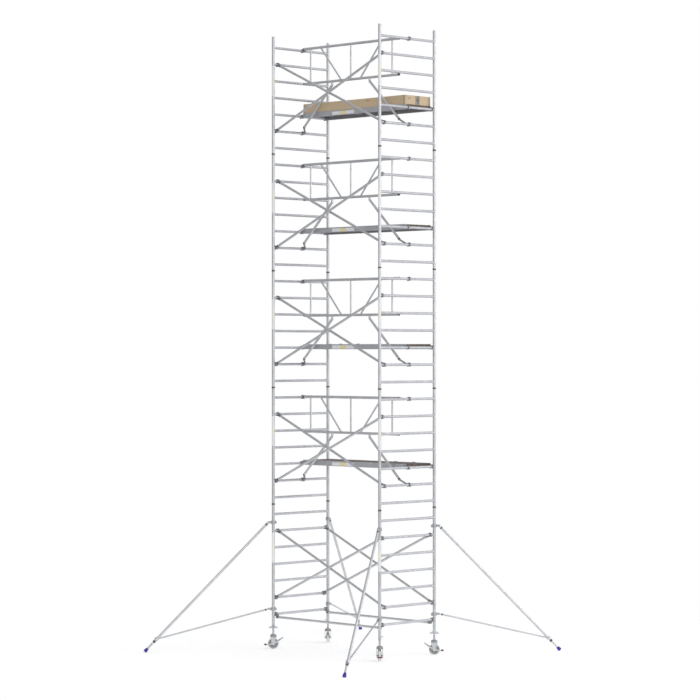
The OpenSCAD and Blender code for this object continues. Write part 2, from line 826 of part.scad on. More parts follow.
// The clamp on the leg that takes the lower end of the arm
module leg_clamp(arm_dir, plug_d, gap) {
    difference() {
        union() {
            rod(arm_end - 22 * leg_dir, arm_end + 22 * leg_dir, outer_leg_d + 20);
            rod(arm_end - (gap + plug_length) * arm_dir, arm_end, plug_d);
        }
        rod(arm_end - 60 * leg_dir, arm_end + 60 * leg_dir, outer_leg_d + 2 * weld_gap);
    }
}

// The inner tube, which slides out of the leg, and its rubber foot
module stabiliser_foot() {
    foot_start = pivot + (leg_length - foot_length) * leg_dir;
    foot_end = pivot + leg_length * leg_dir;
    inner_end = foot_start + (foot_length - 15) * leg_dir;
    color("silver") tube(pivot + (outer_leg_end - inner_leg_inside) * leg_dir, inner_end,
                         inner_leg_d, stabiliser_wall);
    color("slateblue") difference() {
        rod(foot_start, foot_end, foot_d);
        rod(foot_start - leg_dir, inner_end + weld_gap * leg_dir, inner_leg_d + 2 * weld_gap);
        translate([foot_end.x, 0, -foot_d]) cube(2 * foot_d, center = true);
    }
}

module stabiliser_place(corner) {
    translate([corner[1] * half_bay, corner[2] * half_frame, 0])
        rotate([0, 0, atan2(corner[2] * sin(stabiliser_yaw), corner[1] * cos(stabiliser_yaw))]) children();
}

// ---- every node ----

for (level = [1 : levels], side = sides)
    frame(level, side[1]);

braces_front_rising();
braces_front_falling();
braces_back();
horizontal_braces();

for (level = platform_levels) {
    platform_frame(level);
    platform_deck(level);
    hatch(level);
    guardrail(level);
}

toe_boards_long();
toe_boards_end();

for (corner = corners) {
    castor_place(corner) jack_spindle();
    castor_place(corner) jack_nut();
    castor_place(corner) castor_fork();
    castor_place(corner) castor_wheel();
    castor_place(corner) brake_lever();
    stabiliser_place(corner) stabiliser();
    stabiliser_place(corner) stabiliser_foot();
}
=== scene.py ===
"""Looks of the scaffold tower: materials, small fittings, stage, lights and camera.

Metres, in the frame of the CAD model: +Z is up, +X runs along the bay from the left to the
right end frames, and +Y from the guardrail side to the back.
"""

import json
import math

import bmesh
import bpy
import numpy as np
from mathutils import Matrix, Vector


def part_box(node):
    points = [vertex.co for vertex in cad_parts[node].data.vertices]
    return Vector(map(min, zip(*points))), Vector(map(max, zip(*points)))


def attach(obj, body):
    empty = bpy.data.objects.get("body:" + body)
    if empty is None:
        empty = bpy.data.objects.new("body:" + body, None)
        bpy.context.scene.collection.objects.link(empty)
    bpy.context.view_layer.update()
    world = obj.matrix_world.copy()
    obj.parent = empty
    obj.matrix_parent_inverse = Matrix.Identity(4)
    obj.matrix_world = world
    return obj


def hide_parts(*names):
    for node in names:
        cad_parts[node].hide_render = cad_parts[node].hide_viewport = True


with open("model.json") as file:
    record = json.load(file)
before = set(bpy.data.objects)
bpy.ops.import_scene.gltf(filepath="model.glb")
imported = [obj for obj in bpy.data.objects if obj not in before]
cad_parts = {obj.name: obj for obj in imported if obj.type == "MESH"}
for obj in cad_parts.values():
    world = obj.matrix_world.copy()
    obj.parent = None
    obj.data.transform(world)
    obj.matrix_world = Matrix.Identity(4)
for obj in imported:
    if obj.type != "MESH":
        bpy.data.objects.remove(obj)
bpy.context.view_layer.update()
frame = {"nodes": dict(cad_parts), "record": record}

X, Y, Z = Vector((1, 0, 0)), Vector((0, 1, 0)), Vector((0, 0, 1))
TAU = 2 * math.pi

# ---- places, from the frame ----

MOUNTS = {m["name"]: Vector(m["pos_m"]) for m in frame["record"]["mounts"]}
HALF_BAY = MOUNTS["socket_front_right"].x
HALF_FRAME = -MOUNTS["socket_front_right"].y
TOWER_TOP = MOUNTS["socket_front_right"].z
FRAME_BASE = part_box("frame_1_left")[0].z
LEVELS = 5
RUNGS = 7
FRAME_HEIGHT = (TOWER_TOP - FRAME_BASE) / LEVELS
RUNG_PITCH = FRAME_HEIGHT / RUNGS
FRAME_FOOT = 0.095
PLATFORM_LEVELS = range(2, LEVELS + 1)
CORNERS = {"front_left": (-1, -1), "front_right": (1, -1), "back_left": (-1, 1), "back_right": (1, 1)}

# Sizes of the CAD pieces that the fittings sit on
UPRIGHT_R = 0.0254
UPRIGHT_LABEL_HALF = 0.2525
RUNG_R = 0.021
BRACE_R = 0.020
CLAW_WIDTH = 0.034
CLAW_REACH = 0.0613
LATCH_PIN_X = 0.0283
LATCH_PIN_DROP = 0.0248
LATCH_PIN_R = 0.0052
CLIP_BELOW_JOINT = 0.015
BRACE_OUTER_Y = HALF_FRAME - 0.054
BRACE_INNER_Y = BRACE_OUTER_Y - 0.050
RAIL_Y = -0.050
TOP_RAIL_R = 0.0225
LOW_RAIL_R = 0.021
POST_R = 0.014
LEG_R = 0.020
RAIL_LIFT = 0.012
RAIL_DROP = 0.590
RAIL_END = HALF_BAY - 0.130
LOW_RAIL_END = HALF_BAY - 0.140
BEAM_END = HALF_BAY - 0.0453
BEAM_TOP = 0.058
BEAM_DROP = 0.027
BEAM_T = 0.030
PLATFORM_FRONT = 0.005
PLATFORM_BACK = 0.605
DECK_TOP = 0.056
DECK_MIDDLE_Y = (PLATFORM_FRONT + PLATFORM_BACK) / 2
END_MEMBER_X = 1.15
STABILISER_YAW = math.radians(60)
UPPER_COUPLER_Z = 2.125
LOWER_COUPLER_Z = 0.670
PIVOT_OFFSET = 0.083
OUTER_LEG_R = 0.021
INNER_LEG_R = 0.018
ARM_R = 0.014
AXLE_Z = 0.090
HINGE_OFFSET = 0.21
HORIZONTAL_DROP = 0.050
RAIL_HOOK_Y = 0.043
POST_X = 0.958
STRUT_TOP_X = 0.720
STRUT_LOW_X = 0.220
LEG_X = 0.440
BEND_DROP = 0.062
LEG_END_X = HALF_BAY - 0.128
LEG_HOOK_RISE = 0.085
TOE_BRACKET_X = BEAM_END - 0.0139
TOE_END = BEAM_END - 0.014
HATCH_MIDDLE = 0.650
ARM_MEETS_LEG = 2.6992
OUTER_LEG_END = 2.7706
BEAM_LABEL_X = -0.24
BEAM_LABEL_LENGTH = 0.52


def rung_z(level, n):
    return FRAME_BASE + (level - 1) * FRAME_HEIGHT + FRAME_FOOT + (n - 1) * RUNG_PITCH


# ---- materials ----


class Material:
    """One node material with a Principled shader."""

    def __init__(self, name, roughness=0.5, metallic=0.0, **sockets):
        self.data = bpy.data.materials.new(name)
        self.data.use_nodes = True
        self.tree = self.data.node_tree
        self.tree.nodes.clear()
        output = self.tree.nodes.new("ShaderNodeOutputMaterial")
        self.shader = self.tree.nodes.new("ShaderNodeBsdfPrincipled")
        self.tree.links.new(self.shader.outputs[0], output.inputs[0])
        self.set(Roughness=roughness, Metallic=metallic, **sockets)
        self.place = self.node("ShaderNodeTexCoord", pick="Object")

    def set(self, **sockets):
        for name, value in sockets.items():
            self.plug(self.shader.inputs[name.replace("_", " ")], value)

    def plug(self, socket, value):
        if isinstance(value, bpy.types.NodeSocket):
            self.tree.links.new(value, socket)
        else:
            socket.default_value = value

    def node(self, kind, *values, pick=0, **settings):
        node = self.tree.nodes.new(kind)
        for name, value in settings.items():
            setattr(node, name, value)
        for socket, value in zip(node.inputs, values):
            if value is not None:
                self.plug(socket, value)
        return node.outputs[pick]

    def math(self, operation, *values):
        return self.node("ShaderNodeMath", *values, operation=operation)

    def axis(self, name):
        return self.node("ShaderNodeSeparateXYZ", self.place, pick=name)

    def stretched(self, scale):
        return self.node("ShaderNodeVectorMath", self.place, scale, operation="MULTIPLY")

    def noise(self, scale, detail=3.0, vector=None):
        node = self.tree.nodes.new("ShaderNodeTexNoise")
        self.plug(node.inputs["Vector"], vector or self.place)
        node.inputs["Scale"].default_value = scale
        node.inputs["Detail"].default_value = detail
        return node.outputs["Fac"]

    def cells(self, scale, feature="F1", pick="Distance", vector=None):
        node = self.tree.nodes.new("ShaderNodeTexVoronoi")
        node.feature = feature
        self.plug(node.inputs["Vector"], vector or self.place)
        node.inputs["Scale"].default_value = scale
        return node.outputs[pick]

    def ramp(self, factor, *stops):
        """A colour ramp through (position, grey or colour) stops."""
        node = self.tree.nodes.new("ShaderNodeValToRGB")
        elements = node.color_ramp.elements
        while len(elements) < len(stops):
            elements.new(0.5)
        for element, (position, colour) in zip(elements, stops):
            element.position = position
            element.color = (*(colour if isinstance(colour, tuple) else (colour,) * 3), 1)
        self.plug(node.inputs[0], factor)
        return node.outputs[0]

    def mix(self, factor, a, b):
        node = self.tree.nodes.new("ShaderNodeMix")
        node.data_type = "RGBA"
        self.plug(node.inputs[0], factor)
        for socket, value in ((node.inputs[6], a), (node.inputs[7], b)):
            self.plug(socket, (*value, 1) if isinstance(value, tuple) else value)
        return node.outputs[2]

    def bump(self, height, strength, distance=0.001):
        node = self.tree.nodes.new("ShaderNodeBump")
        self.plug(node.inputs["Height"], height)
        node.inputs["Strength"].default_value = strength
        node.inputs["Distance"].default_value = distance
        self.set(Normal=node.outputs[0])


def aluminium(name, colour, roughness, along):
    """Extruded tube: streaks along the axis given, cloudy oxide and a few scuffs."""
    m = Material(name, metallic=0.85)
    streak = m.noise(1.0, 4, m.stretched([8 if axis == along else 900 for axis in range(3)]))
    cloud = m.noise(9.0, 5)
    scuff = m.ramp(m.noise(60.0, 8), (0.0, 0.0), (0.62, 0.0), (0.72, 1.0), (1.0, 1.0))
    base = m.mix(m.ramp(cloud, (0.3, 0.0), (0.7, 1.0)), tuple(c * 0.82 for c in colour), colour)
    base = m.mix(m.math("MULTIPLY", streak, 0.22), base, tuple(c * 0.6 for c in colour))
    base = m.mix(m.math("MULTIPLY", scuff, 0.25), base, tuple(min(1, c * 1.2) for c in colour))
    rough = m.math("ADD", roughness - 0.09, m.math("MULTIPLY", m.math("ADD", streak, scuff), 0.12))
    m.set(Base_Color=base, Roughness=rough)
    m.bump(streak, 0.25, 0.0004)
    return m.data


def ribbed_rungs():
    """Rungs have fine grip ribs along their length, with painted shade darkening the grooves between them."""
    m = Material("rung_aluminium", metallic=0.85)
    height = m.math("SUBTRACT", m.axis("Z"), rung_z(1, 1) - RUNG_PITCH / 2)
    height = m.math("SUBTRACT", m.math("MODULO", height, RUNG_PITCH), RUNG_PITCH / 2)
    across = m.math("SUBTRACT", m.math("ABSOLUTE", m.axis("X")), HALF_BAY)
    ribs = m.math("SINE", m.math("MULTIPLY", m.math("ARCTAN2", height, across), 28))
    cloud = m.ramp(m.noise(11.0, 5), (0.3, 0.0), (0.7, 1.0))
    base = m.mix(cloud, (0.55, 0.56, 0.59), (0.67, 0.68, 0.71))
    # painted shade: the grooves between the ribs are darkened in the base colour
    groove_shade = m.ramp(ribs, (0.0, 1.0), (0.25, 0.0))
    base = m.mix(m.math("MULTIPLY", groove_shade, 0.35), base, (0.38, 0.39, 0.42))
    m.set(Base_Color=base, Roughness=m.math("ADD", 0.3, m.math("MULTIPLY", m.noise(70.0, 4), 0.2)))
    m.bump(ribs, 0.6, 0.0006)
    return m.data


def cast_metal(name, colour, roughness=0.5, metallic=0.35):
    """Cast or painted fitting with a sandy skin and rubbed high spots."""
    m = Material(name, metallic=metallic)
    grain = m.noise(900.0, 3)
    rub = m.ramp(m.noise(45.0, 7), (0.55, 0.0), (0.75, 1.0))
    base = m.mix(m.noise(25.0, 4), tuple(c * 0.7 for c in colour), colour)
    base = m.mix(m.math("MULTIPLY", rub, 0.45), base, tuple(min(1, c * 1.6) for c in colour))
    m.set(Base_Color=base, Roughness=m.math("ADD", roughness - 0.1, m.math("MULTIPLY", grain, 0.25)))
    m.bump(grain, 0.35, 0.0006)
    return m.data


def zinc(name, colour, roughness=0.38):
    """Zinc-plated steel with a faint crystal pattern."""
    m = Material(name, metallic=0.9)
    crystals = m.cells(140.0, pick="Color")
    tone = m.node("ShaderNodeRGBToBW", crystals)
    stain = m.ramp(m.noise(30.0, 6), (0.45, 0.0), (0.75, 1.0))
    base = m.mix(tone, tuple(c * 0.8 for c in colour), tuple(min(1, c * 1.12) for c in colour))
    base = m.mix(m.math("MULTIPLY", stain, 0.35), base, tuple(c * 0.55 for c in colour))
    m.set(Base_Color=base, Roughness=m.math("ADD", roughness, m.math("MULTIPLY", tone, 0.15)))
    m.bump(m.noise(260.0, 4), 0.2, 0.0004)
    return m.data


def film_plywood():
    """Dark film with the wire mesh pressed into it, scuffed pale by boots."""
    m = Material("deck_film", Specular_IOR_Level=0.4)
    mesh = m.cells(170.0, feature="DISTANCE_TO_EDGE")
    line = m.ramp(mesh, (0.0, 1.0), (0.10, 0.0))
    boots = m.ramp(m.noise(14.0, 9), (0.5, 0.0), (0.72, 1.0))
    base = m.mix(m.noise(5.0, 4), (0.085, 0.060, 0.050), (0.145, 0.105, 0.088))
    base = m.mix(m.math("MULTIPLY", boots, 0.35), base, (0.30, 0.25, 0.21))
    base = m.mix(m.math("MULTIPLY", line, 0.4), base, (0.05, 0.035, 0.03))
    m.set(Base_Color=base, Roughness=m.math("SUBTRACT", 0.62, m.math("MULTIPLY", boots, 0.15)))
    m.bump(line, 0.5, 0.0008)
    return m.data


def planed_wood(name, along):
    """Pale softwood: long fibres, broad growth rings and a few knots."""
    m = Material(name, Specular_IOR_Level=0.35)
    drawn = m.stretched([1.2 if axis == along else 14 for axis in range(3)])
    warp = m.noise(1.6, 3, drawn)
    rings = m.node("ShaderNodeTexWave", m.node("ShaderNodeVectorMath", drawn, warp, operation="ADD"),
                   pick="Fac", bands_direction="Z")
    fibre = m.noise(1.0, 6, m.stretched([6 if axis == along else 420 for axis in range(3)]))
    knots = m.ramp(m.cells(1.0, vector=m.stretched([2.2 if axis == along else 7 for axis in range(3)])),
                   (0.0, 1.0), (0.07, 0.9), (0.13, 0.0))
    base = m.mix(m.ramp(rings, (0.2, 0.0), (0.9, 1.0)), (0.60, 0.46, 0.29), (0.72, 0.58, 0.40))
    base = m.mix(m.math("MULTIPLY", fibre, 0.45), base, (0.50, 0.36, 0.21))
    base = m.mix(m.math("MULTIPLY", knots, 0.6), base, (0.30, 0.17, 0.08))
    m.set(Base_Color=base, Roughness=m.math("ADD", 0.5, m.math("MULTIPLY", fibre, 0.25)))
    m.bump(fibre, 0.3, 0.0006)
    return m.data


def moulded(name, colour, roughness, grain=400.0):
    """Moulded rubber or plastic with fine grain and dusty patches."""
    m = Material(name)
    fine = m.noise(grain, 3)
    dust = m.ramp(m.noise(22.0, 6), (0.45, 0.0), (0.8, 1.0))
    grey = sum(colour) / 3
    pale = tuple(0.6 * c + 0.4 * grey + 0.06 for c in colour)
    base = m.mix(fine, tuple(c * 0.85 for c in colour), colour)
    base = m.mix(m.math("MULTIPLY", dust, 0.4), base, pale)
    m.set(Base_Color=base, Roughness=m.math("ADD", roughness, m.math("MULTIPLY", dust, 0.15)))
    m.bump(fine, 0.3, 0.0005)
    return m.data


def label_print(name, axis, centre_of_repeat, repeat, size, tint):
    """A blank label: white ends, a pale yellow block in the middle and thin grey rules."""
    m = Material(name, Coat_Weight=0.3)
    along = m.math("SUBTRACT", m.axis(axis), centre_of_repeat - repeat / 2)
    along = m.math("SUBTRACT", m.math("MODULO", along, repeat), repeat / 2)
    along = m.math("DIVIDE", along, size / 2)
    block = m.ramp(m.math("ABSOLUTE", along), (0.0, 1.0), (0.27, 1.0), (0.29, 0.0))
    rules = m.math("ABSOLUTE", m.math("SINE", m.math("MULTIPLY", along, 22.0)))
    rules = m.ramp(rules, (0.0, 1.0), (0.10, 1.0), (0.14, 0.0))
    wear = m.ramp(m.noise(55.0, 8), (0.6, 0.0), (0.7, 1.0))
    base = m.mix(block, (0.86, 0.87, 0.88), tint)
    base = m.mix(m.math("MULTIPLY", rules, 0.25), base, (0.45, 0.50, 0.58))
    base = m.mix(m.math("MULTIPLY", wear, 0.3), base, (0.66, 0.67, 0.68))
    m.set(Base_Color=base, Roughness=m.math("ADD", 0.35, m.math("MULTIPLY", wear, 0.3)))
    m.bump(m.noise(300.0, 2), 0.1, 0.0003)
    return m.data


UPRIGHT = aluminium("upright_aluminium", (0.68, 0.69, 0.71), 0.42, 2)
RUNG = ribbed_rungs()
BRACE = aluminium("brace_aluminium", (0.67, 0.68, 0.70), 0.42, 0)
RAIL = aluminium("rail_aluminium", (0.70, 0.71, 0.73), 0.42, 0)
BEAM = aluminium("beam_aluminium", (0.64, 0.65, 0.67), 0.46, 0)
MEMBER = aluminium("member_aluminium", (0.46, 0.46, 0.48), 0.5, 1)
WELD = zinc("weld_metal", (0.66, 0.67, 0.69), 0.45)
CLAW = cast_metal("claw_casting", (0.33, 0.335, 0.35), 0.45, 0.7)
DARK = cast_metal("dark_fitting", (0.09, 0.09, 0.10), 0.45)
PLUG = moulded("plug_plastic", (0.05, 0.05, 0.055), 0.5)
DECK = film_plywood()
WOOD_X = planed_wood("toe_board_wood_x", 0)
WOOD_Y = planed_wood("toe_board_wood_y", 1)
BRACKET = cast_metal("bracket_steel", (0.20, 0.175, 0.155), 0.5)
CORNER = cast_metal("corner_clip_paint", (0.56, 0.45, 0.30), 0.5, 0.1)
ZINC = zinc("zinc_steel", (0.62, 0.64, 0.66))
COUPLER = zinc("coupler_steel", (0.50, 0.51, 0.53), 0.42)
HOUSING = cast_metal("castor_housing", (0.36, 0.365, 0.37), 0.5)
TREAD = moulded("castor_tread", (0.80, 0.80, 0.79), 0.6)
TYRE = moulded("castor_tyre", (0.42, 0.42, 0.41), 0.55)
RIM = moulded("castor_rim", (0.38, 0.39, 0.40), 0.45, 250.0)
PEDAL = moulded("brake_pedal", (0.17, 0.006, 0.012), 0.55)
RUBBER = moulded("foot_rubber", (0.045, 0.025, 0.34), 0.48)
UPRIGHT_LABEL = label_print("upright_label", "Z", rung_z(1, 5), FRAME_HEIGHT, 2 * UPRIGHT_LABEL_HALF,
                            (0.90, 0.88, 0.76))
BEAM_LABEL = label_print("beam_label", "X", BEAM_LABEL_X, 10.0, BEAM_LABEL_LENGTH, (0.90, 0.78, 0.44))


# ---- CAD nodes: which faces get which material ----


def paint(node, *rules):
    """Gives a CAD node its materials. Each rule after the first is (material, test), and the test
    takes the faces' centres as columns x, y, z and returns which of them it covers."""
    mesh = frame["nodes"][node].data
    mesh.materials.clear()
    centres = np.zeros(3 * len(mesh.polygons))
    mesh.polygons.foreach_get("center", centres)
    x, y, z = centres.reshape(-1, 3).T
    index = np.zeros(len(mesh.polygons), np.int32)
    mesh.materials.append(rules[0])
    for number, (material, test) in enumerate(rules[1:], 1):
        mesh.materials.append(material)
        index[test(x, y, z)] = number
    mesh.polygons.foreach_set("material_index", index)
    mesh.update()


def near_rungs(level, low, high, reach):
    """Faces within reach of either of two rungs, at either end of the bay."""
    def test(x, y, z):
        across = np.abs(x) - HALF_BAY
        return np.minimum(np.hypot(across, z - rung_z(level, low)),
                          np.hypot(across, z - rung_z(level, high))) < reach
    return test


def any_of(*tests):
    return lambda x, y, z: np.logical_or.reduce([test(x, y, z) for test in tests])


def paint_frames():
    for level in range(1, LEVELS + 1):
        joint = rung_z(level, 1) - FRAME_FOOT + FRAME_HEIGHT - CLIP_BELOW_JOINT
        for side in ("left", "right"):
            def off_axis(x, y):
                return np.hypot(np.abs(x) - HALF_BAY, np.abs(y) - HALF_FRAME)
            paint(f"frame_{level}_{side}", UPRIGHT,
                  (RUNG, lambda x, y, z: (np.abs(y) < HALF_FRAME) & (off_axis(x, y) > UPRIGHT_R + 1e-4)),
                  (DARK, lambda x, y, z: (np.abs(z - joint) < 0.012) & (off_axis(x, y) > UPRIGHT_R + 1e-4)))


def paint_braces():
    claws = [near_rungs(level, 2, 6, CLAW_REACH) for level in range(1, LEVELS + 1)]
    for node in ("braces_front_rising", "braces_front_falling", "braces_back"):
        paint(node, BRACE, (CLAW, any_of(*claws)))
    paint("horizontal_braces", BRACE, (CLAW, lambda x, y, z: np.abs(x) > HALF_BAY - CLAW_REACH))


def paint_guardrails():
    for level in PLATFORM_LEVELS:
        top = rung_z(level, 7) + RAIL_LIFT
        low = top - RAIL_DROP
        leg = rung_z(level, 2)
        paint(f"guardrail_{level}", RAIL,
              (CLAW, lambda x, y, z: (np.abs(x) > RAIL_END) | ((z < leg + 0.084) & (np.abs(x) > 1.10))),
              (PLUG, lambda x, y, z: (np.abs(x) > LOW_RAIL_END) & (np.abs(z - low) < 0.03)))


def paint_platforms():
    for level in PLATFORM_LEVELS:
        inner = PLATFORM_FRONT + BEAM_T, PLATFORM_BACK - BEAM_T
        paint(f"platform_frame_{level}", BEAM,
              (MEMBER, lambda x, y, z: (y > inner[0]) & (y < inner[1])),
              (DECK, lambda x, y, z: (y > inner[0]) & (y < inner[1]) & (np.abs(x) > END_MEMBER_X)),
              (CLAW, lambda x, y, z: np.abs(x) > BEAM_END))
        paint(f"platform_deck_{level}", DECK)
        paint(f"hatch_{level}", DECK,
              (ZINC, lambda x, y, z: z > rung_z(level, 3) + DECK_TOP + 1e-4))
    paint("toe_boards_long", WOOD_X)
    paint("toe_boards_end", WOOD_Y,
          (BRACKET, lambda x, y, z: (np.abs(x) > TOE_BRACKET_X) & (np.abs(y - DECK_MIDDLE_Y) < 0.05)),
          (CORNER, lambda x, y, z: (np.abs(y - DECK_MIDDLE_Y) > 0.2972) | (
              (np.abs(x) > TOE_BRACKET_X) & (np.abs(y - DECK_MIDDLE_Y) > 0.25))))


def corner_space(corner, yaw=None):
    """The CAD frame of a castor or a stabiliser: its origin under the upright, +X pointing away."""
    sx, sy = CORNERS[corner]
    turn = math.atan2(sy, sx) if yaw is None else math.atan2(sy * math.sin(yaw), sx * math.cos(yaw))
    return Matrix.Translation((sx * HALF_BAY, sy * HALF_FRAME, 0)) @ Matrix.Rotation(turn, 4, "Z")


def in_space(space, test):
    """Turns a test on points in a corner's own space into one on points in the tower's."""
    back = np.array(space.inverted())
    return lambda x, y, z: test(*(back[:3, :3] @ np.array([x, y, z]) + back[:3, 3:]))


def paint_corners():
    for corner in CORNERS:
        castor = corner_space(corner)
        paint(f"jack_spindle_{corner}", ZINC)
        paint(f"jack_nut_{corner}", ZINC)
        paint(f"castor_fork_{corner}", ZINC, (HOUSING, lambda x, y, z: z > 0.20))
        paint(f"castor_wheel_{corner}", RIM,
              (TYRE, in_space(castor, lambda x, y, z: np.hypot(x, z - AXLE_Z) > 0.0699)))
        paint(f"brake_lever_{corner}", ZINC,
              (PEDAL, in_space(castor, lambda x, y, z: (x > 0.114) & (z > AXLE_Z - 0.0241))))
        space = corner_space(corner, STABILISER_YAW)
        paint(f"stabiliser_{corner}", BRACE,
              (COUPLER, in_space(space, lambda x, y, z: (x < 0.095) & (np.abs(y) < 0.06))))
        paint(f"stabiliser_foot_{corner}", UPRIGHT,
              (RUBBER, in_space(space, lambda x, y, z: foot_test(x, y, z))))


def foot_test(x, y, z):
    along = ((x - PIVOT_OFFSET) - (z - UPPER_COUPLER_Z)) / math.sqrt(2)
    off = np.hypot(((x - PIVOT_OFFSET) + (z - UPPER_COUPLER_Z)) / math.sqrt(2), y)
    return (off > 0.0182) | (along > 2.92)


paint_frames()
paint_braces()
paint_guardrails()
paint_platforms()
paint_corners()


# ---- mesh pieces ----


class Piece:
    """One mesh piece, built up shape by shape, with a material for each shape."""

    def __init__(self):
        self.points, self.faces, self.indices, self.materials = [], [], [], []

    def loft(self, rings, material, space=None, loop=False):
        """A skin through rings of points. Unless the rings loop, a flat cap closes each end."""
        if material not in self.materials:
            self.materials.append(material)
        first, size, count = len(self.points), len(rings[0]), len(rings)
        for ring in rings:
            self.points += [space @ Vector(p) if space else Vector(p) for p in ring]
        faces = []
        for i in range(count if loop else count - 1):
            a, b = first + i * size, first + (i + 1) % count * size
            faces += [[a + j, a + (j + 1) % size, b + (j + 1) % size, b + j] for j in range(size)]
        if not loop:
            faces += [list(range(first, first + size)), list(range(a + size, a + 2 * size))]
        self.faces += faces
        self.indices += [self.materials.index(material)] * len(faces)

    def lathe(self, profile, material, space=None, steps=24, loop=False):
        """(radius, height) points turned round the space's Z axis."""
        self.loft([[(r * math.cos(TAU * i / steps), r * math.sin(TAU * i / steps), h) for i in range(steps)]
                   for r, h in profile], material, space, loop)

    def bar(self, path, radius, material, space=None, loop=False, steps=8):
        """A round bar along a path."""
        path = [Vector(p) for p in path]
        rings, normal = [], (path[1] - path[0]).orthogonal()
        for i, point in enumerate(path):
            before = path[i - 1] if i or loop else point
            after = path[(i + 1) % len(path)] if i + 1 < len(path) or loop else point
            forward = (after - before).normalized()
            normal = (normal - forward * normal.dot(forward)).normalized()
            side = forward.cross(normal)
            turns = [TAU * j / steps for j in range(steps)]
            rings.append([point + radius * (math.cos(a) * normal + math.sin(a) * side) for a in turns])
        self.loft(rings, material, space, loop)

    def plate(self, outline, thickness, material, space=None, edge=0.0008):
        """A plate on the space's XY plane, with eased edges."""
        middle = sum((Vector(p) for p in outline), Vector((0, 0))) / len(outline)
        rings = []
        for height, inset in ((0, edge), (edge, 0), (thickness - edge, 0), (thickness, edge)):
            pulled = [Vector(p) + (middle - Vector(p)).normalized() * inset for p in outline]
            rings.append([(*p, height) for p in pulled])
        self.loft(rings, material, space)

    def rivet(self, point, direction, radius=0.005, material=WELD):
        """A low domed head."""
        dome = ((radius, -0.0005), (radius, radius * 0.25), (radius * 0.85, radius * 0.55),
                (radius * 0.4, radius * 0.75))
        self.lathe(dome, material, facing(point, direction), 12)

    def hex_bolt(self, point, direction, radius=0.009):
        """A hexagonal head on its washer."""
        space = facing(point, direction)
        washer = ((radius * 1.35, 0), (radius * 1.35, 0.0012), (radius * 1.25, 0.0016))
        head = ((radius, 0.0016), (radius, 0.0064), (radius * 0.86, 0.0072))
        self.lathe(washer, ZINC, space)
        self.lathe(head, ZINC, space, 6)

    def finish(self, name, body, replaced=None):
        mesh = bpy.data.meshes.new(name)
        mesh.from_pydata(self.points, [], self.faces)
        for material in self.materials:
            mesh.materials.append(material)
        mesh.polygons.foreach_set("material_index", self.indices)
        work = bmesh.new()
        work.from_mesh(mesh)
        bmesh.ops.recalc_face_normals(work, faces=work.faces)
        work.to_mesh(mesh)
        work.free()
        mesh.shade_smooth()
        mesh.set_sharp_from_angle(angle=math.radians(35))
        piece = bpy.data.objects.new(name, mesh)
        bpy.context.scene.collection.objects.link(piece)
        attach(piece, body)
        if replaced:
            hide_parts(replaced)


def facing(point, direction, up=Z):
    """A space at a point with its Z along direction and its X as near as can be to up."""
    z = Vector(direction).normalized()
    x = Vector(up) - z * z.dot(up)
    x = x.normalized() if x.length > 1e-3 else z.orthogonal().normalized()
    return Matrix.Translation(point) @ Matrix((x, z.cross(x), z)).transposed().to_4x4()


def rounded(length, width, radius, steps=5):
    """The outline of a rectangle with round corners, centred on the origin."""
    outline = []
    for quarter, (sx, sy) in enumerate(((1, 1), (-1, 1), (-1, -1), (1, -1))):
        for i in range(steps):
            a = (quarter + i / (steps - 1)) * TAU / 4
            outline.append((sx * (length / 2 - radius) + radius * math.cos(a),
                            sy * (width / 2 - radius) + radius * math.sin(a)))
    return outline


def saddle(centre, branch, branch_r, main, main_r, steps=20):
    """Points round the foot of a branch tube, where it meets the main tube through centre."""
    branch = Vector(branch).normalized()
    u = (main - branch * branch.dot(main)).normalized()
    v = branch.cross(u)
    run = branch - main * branch.dot(main)
    points = []
    for i in range(steps):
        off = branch_r * (math.cos(TAU * i / steps) * u + math.sin(TAU * i / steps) * v)
        flat = off - main * off.dot(main)
        half, square = flat.dot(run), run.length_squared
        reach = (-half + math.sqrt(half ** 2 - square * (flat.length_squared - main_r ** 2))) / square
        points.append(centre + off + reach * branch)
    return points


def sleeve(piece, start, direction, inner, outer, length, material, steps=24):
    """A short ring round a tube, with eased outer edges."""
    ease = min(0.0015, length / 4, (outer - inner) / 2)
    piece.lathe(((inner, 0), (outer - ease, 0), (outer, ease), (outer, length - ease), (outer - ease, length),
                 (inner, length)), material, facing(start, direction), steps, True)


# ---- fittings on the tower ----


def frame_fittings():
    """Weld beads, locking-clip wires, spigot rivets and top caps of the uprights."""
    for level in range(1, LEVELS + 1):
        piece = Piece()
        bottom = rung_z(level, 1) - FRAME_FOOT
        for sx, sy in CORNERS.values():
            axis = Vector((sx * HALF_BAY, sy * HALF_FRAME, 0))
            for n in range(1, RUNGS + 1):
                foot = saddle(axis + Z * rung_z(level, n), -sy * Y, RUNG_R, Z, UPRIGHT_R, 24)
                piece.bar(foot, 0.0024, WELD, loop=True, steps=6)
            if level < LEVELS:
                joint = bottom + FRAME_HEIGHT
                for angle in (0, TAU / 4):
                    out = Vector((math.cos(angle), math.sin(angle), 0))
                    piece.rivet(axis + Z * (joint + 0.060) + out * UPRIGHT_R, out, 0.004)
                    piece.rivet(axis + Z * (joint + 0.060) - out * UPRIGHT_R, -out, 0.004)
                top = joint - CLIP_BELOW_JOINT + 0.0075
                wire = [axis + Vector((0.0303 * math.cos(a), 0.0303 * math.sin(a), top))
                        for a in np.linspace(0.12, TAU - 0.5, 30)]
                tail = [wire[-1] + Vector((0.006, 0.002, -0.004)), wire[-1] + Vector((0.013, 0.001, -0.014))]
                piece.bar(wire + tail, 0.0018, DARK, steps=6)
                sleeve(piece, axis + Z * (joint - 0.0008), Z, 0.0252, 0.0263, 0.0016, DARK)
        piece.finish(f"frame_fittings_{level}", "tower")


